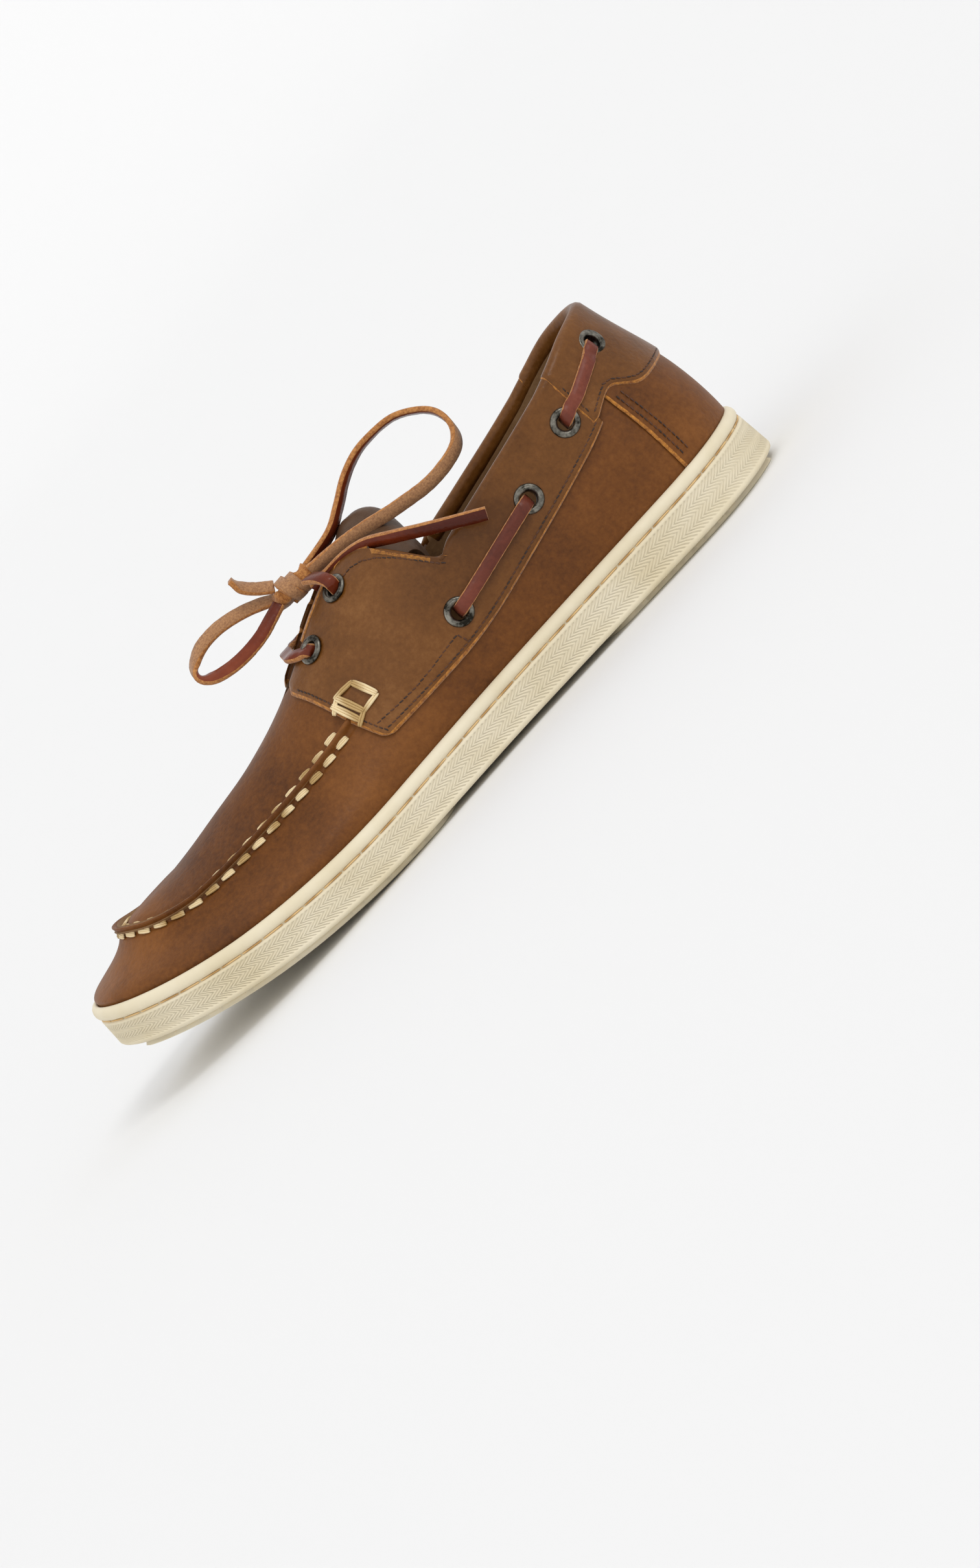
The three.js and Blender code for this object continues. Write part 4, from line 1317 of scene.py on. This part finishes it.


# Routes of the free lace: x, y and z of each point, and the tilt of its width from level, in degrees.
BOW = {
    "lace_loop_rear": [
        (139.6, -2.5, 88, 34), (126, -6, 89.7, 44), (117.4, -9, 93.6, 44), (108.6, -11, 98.5, 38),
        (99.9, -12, 101.5, 28), (91.5, -12, 102.1, 20), (83.1, -11, 101.2, 18), (76.6, -8.5, 98, 18),
        (72, -5, 93.6, 20), (70.6, -0.5, 88.6, 34), (72, 4, 83.4, 55), (76, 7.6, 80.2, 70), (83, 9.4, 78.8, 80),
        (91, 10, 78.6, 84), (99, 9.6, 79.8, 84), (107, 8.6, 81.4, 84), (115, 7.4, 83.4, 82), (123, 5.8, 85, 78),
        (131, 4.4, 86, 70), (139.6, 3, 86.8, 60),
    ],
    "lace_loop_front": [
        (155, -3.4, 88.2, -40), (161, -4, 91.4, -56), (168, -4.4, 94, -62), (176, -4.8, 95.6, -60),
        (184, -5, 95.2, -50), (190.2, -4, 92.4, -26), (191.6, -1, 88.8, -14), (188, 3, 85.6, -34),
        (181, 5.6, 83.9, -52), (174, 6.4, 83.5, -58), (167, 6, 84, -60), (160.8, 4.8, 85.4, -52),
        (155, 3.4, 86.8, -40),
    ],
    "lace_end_long": [
        (143, 5.2, 81.6, 56), (135, 8, 82, 64), (127, 12, 82, 70), (120, 18, 80.6, 74), (113, 25, 76.8, 76),
        (104, 32, 71.4, 76), (95, 36.5, 66, 76), (86.3, 38.6, 60.8, 74),
    ],
    "lace_end_short": [(152, -1, 91.6, -60), (156.6, -0.6, 95.6, -64), (160, 0, 100, -64), (160.8, 0.4, 104, -60)],
}
# From the rear throat eyelets up to the knot.
STRANDS = {
    "inner": [
        (138, 15.2, 75.5), (138, 17.4, 79), (138, 18.3, 81.2), (139.2, 15.6, 83.8), (141.2, 11, 85.4),
        (142.8, 7.6, 86),
    ],
    "outer": [
        (138, -15.4, 76), (138, -17.8, 80), (138, -18.7, 82.4), (139.4, -16, 84.8), (141.4, -12, 86),
        (143, -8.6, 86.6),
    ],
}
KNOT = Vector((147.3, -0.5, 87))


def tilted(degrees_list):
    """Ways of the lace's width, each turned from level by an angle."""
    return [Vector((0, math.cos(math.radians(d)), math.sin(math.radians(d)))) for d in degrees_list]


def free_lace(name, node, props, materials):
    """One free run of lace, with its path in the frame and its length."""
    rows = BOW[node]
    route = smooth_route([Vector(row[:3]) for row in rows])
    across = smooth_route(tilted([row[3] for row in rows]))
    piece = strap(name, route, across, props.lace_width, props.lace_thick, materials)
    settle(piece, "lace_leather", node)
    path = [to_scene(p) for p in route]
    length = sum((Vector(b) - Vector(a)).length for a, b in zip(path, path[1:]))
    return piece, path, length


def make_bow(props):
    """The two loops and the long end of the bow, declared as free cords."""
    inside = ["lace", "suede", "lace_edge"]
    turned = ["suede", "lace", "lace_edge"]
    short = free_lace("Lace_End_Short", "lace_end_short", props, turned)[0]
    knot = make_knot(props)
    for name, node, materials, far_end, extra in (
        ("Lace_Loop_Rear", "lace_loop_rear", inside, "object", ()),
        ("Lace_Loop_Front", "lace_loop_front", turned, "object", ()),
        ("Lace_End_Long", "lace_end_long", inside, "bare", (knot, short)),
    ):
        piece, path, length = free_lace(name, node, props, materials)
        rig.cord(
            piece, exit=path[0], length=length, diameter=props.lace_width / 1000, far_end=far_end,
            stiffness="stiff", lay="loose", path=path, with_pieces=list(extra),
        )


def make_knot(props):
    """The knot: lace wrapped twice round the strands that pass through it."""
    suede = ["suede", "suede", "lace_edge"]

    def wrap(centre, radii, lean, turns, width):
        route, across = [], []
        count = int(36 * turns)
        for i in range(count + 1):
            a = 3.9 + 2 * math.pi * turns * i / count
            x = lean * (i / count - 0.5) * 2 + 0.9 * math.sin(a + 0.6)
            route.append(centre + Vector((x, radii[0] * math.cos(a), radii[1] * math.sin(a))))
            across.append(Vector((1, 0.18 * math.sin(a), 0.25 * math.cos(a))))
        return strap("knot_wrap", route, across, width, props.lace_thick, suede, 0.2)

    wraps = [
        wrap(KNOT + Vector((1.4, 0, 0.2)), (4.7, 4.3), 1.0, 1.1, 4.2),
        wrap(KNOT + Vector((-2.0, 0.2, -0.3)), (4.3, 3.7), 0.6, 1.05, 3.6),
    ]
    through = (-7.4, -5, -2.5, 0, 2.5, 5, 7.6)
    route = smooth_route([KNOT + Vector((x, 0.6 * math.sin(x), 0.5 * math.cos(x * 0.7))) for x in through])
    core = strap("knot_core", route, [Vector((0, 1, 0.3))] * len(route), 6.8, 5.4, suede, 0.3)
    only(core)
    for piece in wraps:
        piece.select_set(True)
    bpy.ops.object.join()
    knot = bpy.context.view_layer.objects.active
    knot.name = "Lace_Knot"
    return settle(knot, "lace_leather", "lace_knot")


def make_sleeve(route, up):
    """A plain leather sleeve threaded on the outer side's rear run, with one sewn edge."""
    covered = slice(len(route) // 4, -len(route) // 4)
    middle, across = route[covered], up[covered]
    settle(strap("Lace_Sleeve", middle, across, 9.0, 3.6, ["saddle", "saddle", "raw"]), "saddle_leather")
    spots = []
    for p, wide, ahead in zip(middle[1:-1], across[1:-1], middle[2:]):
        out = (ahead - p).cross(wide).normalized()
        if out.dot(Vector((0, -1, 0))) < 0:
            out.negate()
        down = wide if wide.z < 0 else wide * -1
        spots.append((p + down * 2.9 + out * 1.8, out))
    settle(stitching("Sleeve_Seam", spaced(spots, 2.6), (2.0, 0.5, 0.4), "brown_thread"), "saddle_leather")


def make_side_laces(props):
    """Side runs of lace along the collar, the bar across the throat and the strands up to the knot."""
    # The side runs take the paler lace finish: painted highlight.
    side_finish, finish = ["lace_side", "suede", "lace_edge"], ["lace", "suede", "lace_edge"]
    width, thick = props.lace_width, props.lace_thick
    for side, word in ((1, "inner"), (-1, "outer")):
        seats = SEATS[side]
        for first, second, part in ((seats[0], seats[1], "rear"), (seats[2], seats[3], "front")):
            route, up = run_between(first, second, side)
            piece = strap(f"Lace_Run_{word}_{part}", route, up, width, thick, side_finish)
            settle(piece, "lace_leather", f"lace_run_{word}_{part}")
            if (word, part) == ("outer", "rear"):
                make_sleeve(route, up)
        route = smooth_route([Vector(p) for p in STRANDS[word]])
        across = [Vector((side, 0, 0.15))] * len(route)
        piece = strap(f"Lace_Strand_{word}", route, across, width, thick, finish)
        settle(piece, "lace_leather", f"lace_strand_{word}")
    starts = [[seats[5].centre + seats[5].axis * out for out in (-2.5, 1.0)] for seats in (SEATS[1], SEATS[-1])]
    arch = []
    for y in (15.6, 13, 10.6, 8, 4.5, 0, -4.5, -8, -10.6, -13, -15.6):
        x = 158 + 7.5 * smooth(17.5 - abs(y), -2, 10)
        r = Rib(x, 1 if y >= 0 else -1)
        over = r.point(r.at_radius(max(abs(y), 8)), 4.0 + 0.5 * (abs(y) < 12))
        arch.append(Vector((x, centre_line(x) + y, over.z)))
    route = smooth_route([*starts[0], *arch, *reversed(starts[1])])
    piece = strap("Lace_Bar", route, [Vector((1, 0, 0))] * len(route), width, thick, finish)
    settle(piece, "lace_leather", "lace_bar")


# ---- Stage ---------------------------------------------------------------------------------------
def look_from(azimuth, elevation):
    """The way from the shoe toward a place round it, with azimuth 180 on its inner side."""
    a, e = math.radians(azimuth), math.radians(elevation)
    return Vector((math.sin(a) * math.cos(e), -math.cos(a) * math.cos(e), math.sin(e)))


def make_stage(props):
    """Pale paper sweep, soft studio lamps and the camera, rolled about its own axis."""
    # The sweep's side view in metres: level paper, a quarter circle, and a wall.
    back_line, bend, wall_top = -7.0, 6.0, 20.0
    profile = [(16.0, 0.0), (back_line, 0.0)]
    for t in steps(24)[1:]:
        a = math.pi / 2 * t
        profile.append((back_line - bend * math.sin(a), bend - bend * math.cos(a)))
    profile.append((back_line - bend, wall_top))
    points = [(x, y, z) for y, z in profile for x in (-24.0, 24.0)]
    mesh = bpy.data.meshes.new("Studio_Sweep")
    mesh.from_pydata(points, [], [f[::-1] for f in grid_faces(len(profile), 2)])
    mesh.polygons.foreach_set("use_smooth", [True] * len(mesh.polygons))
    floor = bpy.data.objects.new("Studio_Sweep", mesh)
    bpy.context.scene.collection.objects.link(floor)
    mesh.materials.append(FINISHES["floor"])
    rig.stage(floor)
    target = Vector(props.target)
    back = look_from(props.azimuth, props.elevation)
    camera = bpy.data.objects.new("Camera", bpy.data.cameras.new("Camera"))
    bpy.context.scene.collection.objects.link(camera)
    bpy.context.scene.camera = camera
    camera.data.lens, camera.data.sensor_width = props.lens, 36
    turn = (-back).to_track_quat("-Z", "Y") @ Matrix.Rotation(math.radians(props.roll), 3, "Z").to_quaternion()
    camera.matrix_world = Matrix.Translation(target + back * props.distance) @ turn.to_matrix().to_4x4()
    world = bpy.data.worlds.new("Studio")
    bpy.context.scene.world = world
    world.use_nodes = True
    light = world.node_tree.nodes["Background"]
    light.inputs["Color"].default_value = (1, 1, 1, 1)
    light.inputs["Strength"].default_value = 0.9
    lamps = table("name azimuth elevation softness power", ("Key", 218, 46, 22, 0.72), ("Fill", 140, 35, 60, 0.2))
    for row in lamps:
        lamp = bpy.data.objects.new(row["name"], bpy.data.lights.new(row["name"], "SUN"))
        bpy.context.scene.collection.objects.link(lamp)
        lamp.data.angle, lamp.data.energy = math.radians(row["softness"]), row["power"]
        way = look_from(row["azimuth"], row["elevation"])
        lamp.location = way * 2
        lamp.rotation_mode = "QUATERNION"
        lamp.rotation_quaternion = way.to_track_quat("Z", "Y")
    bpy.context.scene.view_settings.view_transform = "Standard"


# ---- Add-on --------------------------------------------------------------------------------------
def mm(name, default, description):
    """A size that a user may change."""
    return FloatProperty(name=name, default=default, min=0.05, description=description + ", in millimetres")


def colour(name, part, description):
    """A part's main colour."""
    usual = linear(MAIN_COLOURS[part])[:3]
    return FloatVectorProperty(name=name, default=usual, subtype="COLOR", min=0, max=1, description=description)


class BOATSHOE_PG_sizes(bpy.types.PropertyGroup):
    """Sizes of the shoe's finer parts."""

    rib_pitch: mm("Rib pitch", 1.9, "Spacing of the ribs along the side wall")
    rib_depth: mm("Rib depth", 0.5, "Depth of the grooves in the side wall")
    sole_stitch: mm("Sole stitch", 8.5, "Spacing of the stitches in the welt groove")
    moc_pitch: mm("Moccasin stitch", 7.1, "Spacing of the hand stitches round the toe")
    seam_pitch: mm("Seam stitch", 1.9, "Spacing of the brown seam stitches")
    leather: mm("Upper leather", 2.0, "Thickness of the upper with its lining")
    tongue: mm("Tongue", 2.6, "Thickness of the tongue")
    eyelet: mm("Eyelet", 10.4, "Width of an eyelet")
    eyelet_hole: mm("Eyelet hole", 5.4, "Width of an eyelet's hole")
    lace_width: mm("Lace width", 4.8, "Width of the leather lace")
    lace_thick: mm("Lace thickness", 1.9, "Thickness of the leather lace")


class BOATSHOE_PG_colours(bpy.types.PropertyGroup):
    """Main colours of the shoe and its ground."""

    vamp: colour("Vamp", "vamp", "Leather of the vamp, quarters and heel counter")
    saddle: colour("Saddle", "saddle", "Leather of the saddle, collar band and heel tab")
    lining: colour("Lining", "lining", "Lining and insole")
    collar: colour("Collar lining", "collar", "Dark lining and tongue")
    lace: colour("Lace", "lace", "Smooth side of the lace")
    suede: colour("Lace suede", "suede", "Rough side of the lace")
    cut_edge: colour("Cut edge", "cut_edge", "Cut edges of the leather and the lace")
    rubber: colour("Rubber", "rubber", "Sole")
    tan_thread: colour("Welt thread", "tan_thread", "Thread in the sole's groove")
    brown_thread: colour("Seam thread", "brown_thread", "Thread of the saddle and heel seams")
    cream_thread: colour("Moccasin thread", "cream_thread", "Hand stitches round the toe and the box stitch")
    metal: colour("Eyelet metal", "metal", "Rubbed metal of the eyelets")
    floor: colour("Paper", "floor", "Ground that the shoe stands on")


class BOATSHOE_PG_stage(bpy.types.PropertyGroup):
    """Camera of the studio stage."""

    azimuth: FloatProperty(name="Azimuth", default=180.0, description="Way round the shoe, in degrees")
    elevation: FloatProperty(name="Elevation", default=9.5, description="Height above the floor, in degrees")
    roll: FloatProperty(name="Roll", default=-46.7, description="Turn of the camera about its view, in degrees")
    lens: FloatProperty(name="Lens", default=85.0, description="Focal length", unit="CAMERA")
    distance: FloatProperty(name="Distance", default=1.262, description="Camera to shoe", unit="LENGTH")
    target: FloatVectorProperty(
        name="Target", default=(0.0004, 0.0080, -0.0075), description="Point looked at", unit="LENGTH"
    )


class BOATSHOE_OT_stage(bpy.types.Operator):
    """Adds the floor, lamps and camera"""

    bl_idname = "boatshoe.stage"
    bl_label = "Studio Stage"

    def execute(self, context):
        scene = context.scene
        make_finishes(scene.boatshoe_colours)
        make_stage(scene.boatshoe_stage)
        return {"FINISHED"}


class BOATSHOE_OT_bow(bpy.types.Operator):
    """Adds the knot, loops and ends of the lace"""

    bl_idname = "boatshoe.bow"
    bl_label = "Bow"

    def execute(self, context):
        scene = context.scene
        make_finishes(scene.boatshoe_colours)
        make_bow(scene.boatshoe_sizes)
        return {"FINISHED"}


class BOATSHOE_OT_sole(bpy.types.Operator):
    """Adds the rubber sole with its treads and welt stitching"""

    bl_idname = "boatshoe.sole"
    bl_label = "Cup Sole"

    def execute(self, context):
        scene = context.scene
        make_finishes(scene.boatshoe_colours)
        make_sole(scene.boatshoe_sizes)
        return {"FINISHED"}


class BOATSHOE_OT_upper(bpy.types.Operator):
    """Adds the leather upper and its moccasin stitches"""

    bl_idname = "boatshoe.upper"
    bl_label = "Upper"

    def execute(self, context):
        scene = context.scene
        make_finishes(scene.boatshoe_colours)
        make_upper(scene.boatshoe_sizes)
        return {"FINISHED"}


class BOATSHOE_OT_saddles(bpy.types.Operator):
    """Adds both sides of the saddle and collar band"""

    bl_idname = "boatshoe.saddles"
    bl_label = "Saddle"

    def execute(self, context):
        scene = context.scene
        make_finishes(scene.boatshoe_colours)
        for side in (1, -1):
            make_saddle(scene.boatshoe_sizes, side)
        return {"FINISHED"}


class BOATSHOE_OT_heel(bpy.types.Operator):
    """Adds the heel tab and counter"""

    bl_idname = "boatshoe.heel"
    bl_label = "Heel Pieces"

    def execute(self, context):
        scene = context.scene
        make_finishes(scene.boatshoe_colours)
        make_heel(scene.boatshoe_sizes)
        return {"FINISHED"}


class BOATSHOE_OT_tongue(bpy.types.Operator):
    """Adds the tongue"""

    bl_idname = "boatshoe.tongue"
    bl_label = "Tongue"

    def execute(self, context):
        scene = context.scene
        make_finishes(scene.boatshoe_colours)
        make_tongue(scene.boatshoe_sizes)
        return {"FINISHED"}


class BOATSHOE_OT_insole(bpy.types.Operator):
    """Adds the insole"""

    bl_idname = "boatshoe.insole"
    bl_label = "Insole"

    def execute(self, context):
        scene = context.scene
        make_finishes(scene.boatshoe_colours)
        make_insole()
        return {"FINISHED"}


class BOATSHOE_OT_eyelets(bpy.types.Operator):
    """Adds the metal eyelets"""

    bl_idname = "boatshoe.eyelets"
    bl_label = "Eyelets"

    def execute(self, context):
        scene = context.scene
        make_finishes(scene.boatshoe_colours)
        make_eyelets(scene.boatshoe_sizes)
        return {"FINISHED"}


class BOATSHOE_OT_side_laces(bpy.types.Operator):
    """Adds the lace along the collar and over the throat"""

    bl_idname = "boatshoe.side_laces"
    bl_label = "Side Laces"

    def execute(self, context):
        scene = context.scene
        make_finishes(scene.boatshoe_colours)
        make_side_laces(scene.boatshoe_sizes)
        return {"FINISHED"}


PARTS = [
    BOATSHOE_OT_stage,
    BOATSHOE_OT_bow,
    BOATSHOE_OT_sole,
    BOATSHOE_OT_upper,
    BOATSHOE_OT_saddles,
    BOATSHOE_OT_heel,
    BOATSHOE_OT_tongue,
    BOATSHOE_OT_insole,
    BOATSHOE_OT_eyelets,
    BOATSHOE_OT_side_laces,
]


class BOATSHOE_PT_panel(bpy.types.Panel):
    """Lists the shoe's builders."""

    bl_idname = "BOATSHOE_PT_panel"
    bl_label = "Boat Shoe"
    bl_space_type = "VIEW_3D"
    bl_region_type = "UI"
    bl_category = "Boat Shoe"

    def draw(self, context):
        for part in PARTS:
            self.layout.operator(part.bl_idname)


SETTINGS = {
    "boatshoe_sizes": BOATSHOE_PG_sizes,
    "boatshoe_colours": BOATSHOE_PG_colours,
    "boatshoe_stage": BOATSHOE_PG_stage,
}
CLASSES = [*SETTINGS.values(), *PARTS, BOATSHOE_PT_panel]


def register():
    """Registers the classes and puts the settings on the scene."""
    for cls in CLASSES:
        bpy.utils.register_class(cls)
    for name, group in SETTINGS.items():
        setattr(bpy.types.Scene, name, PointerProperty(type=group))


def unregister():
    """Takes the settings and the classes away again."""
    for name in SETTINGS:
        delattr(bpy.types.Scene, name)
    for cls in reversed(CLASSES):
        bpy.utils.unregister_class(cls)


def main():
    """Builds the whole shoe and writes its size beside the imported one."""
    register()
    bpy.ops.object.select_all(action="DESELECT")
    for part in PARTS:
        getattr(bpy.ops.boatshoe, part.bl_idname.split(".")[1])()
    with open("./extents.json", "w") as out:
        json.dump({"cad": CAD_BOX, "visual": [list(corner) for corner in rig.bounds()]}, out)


if __name__ == "__main__":
    main()
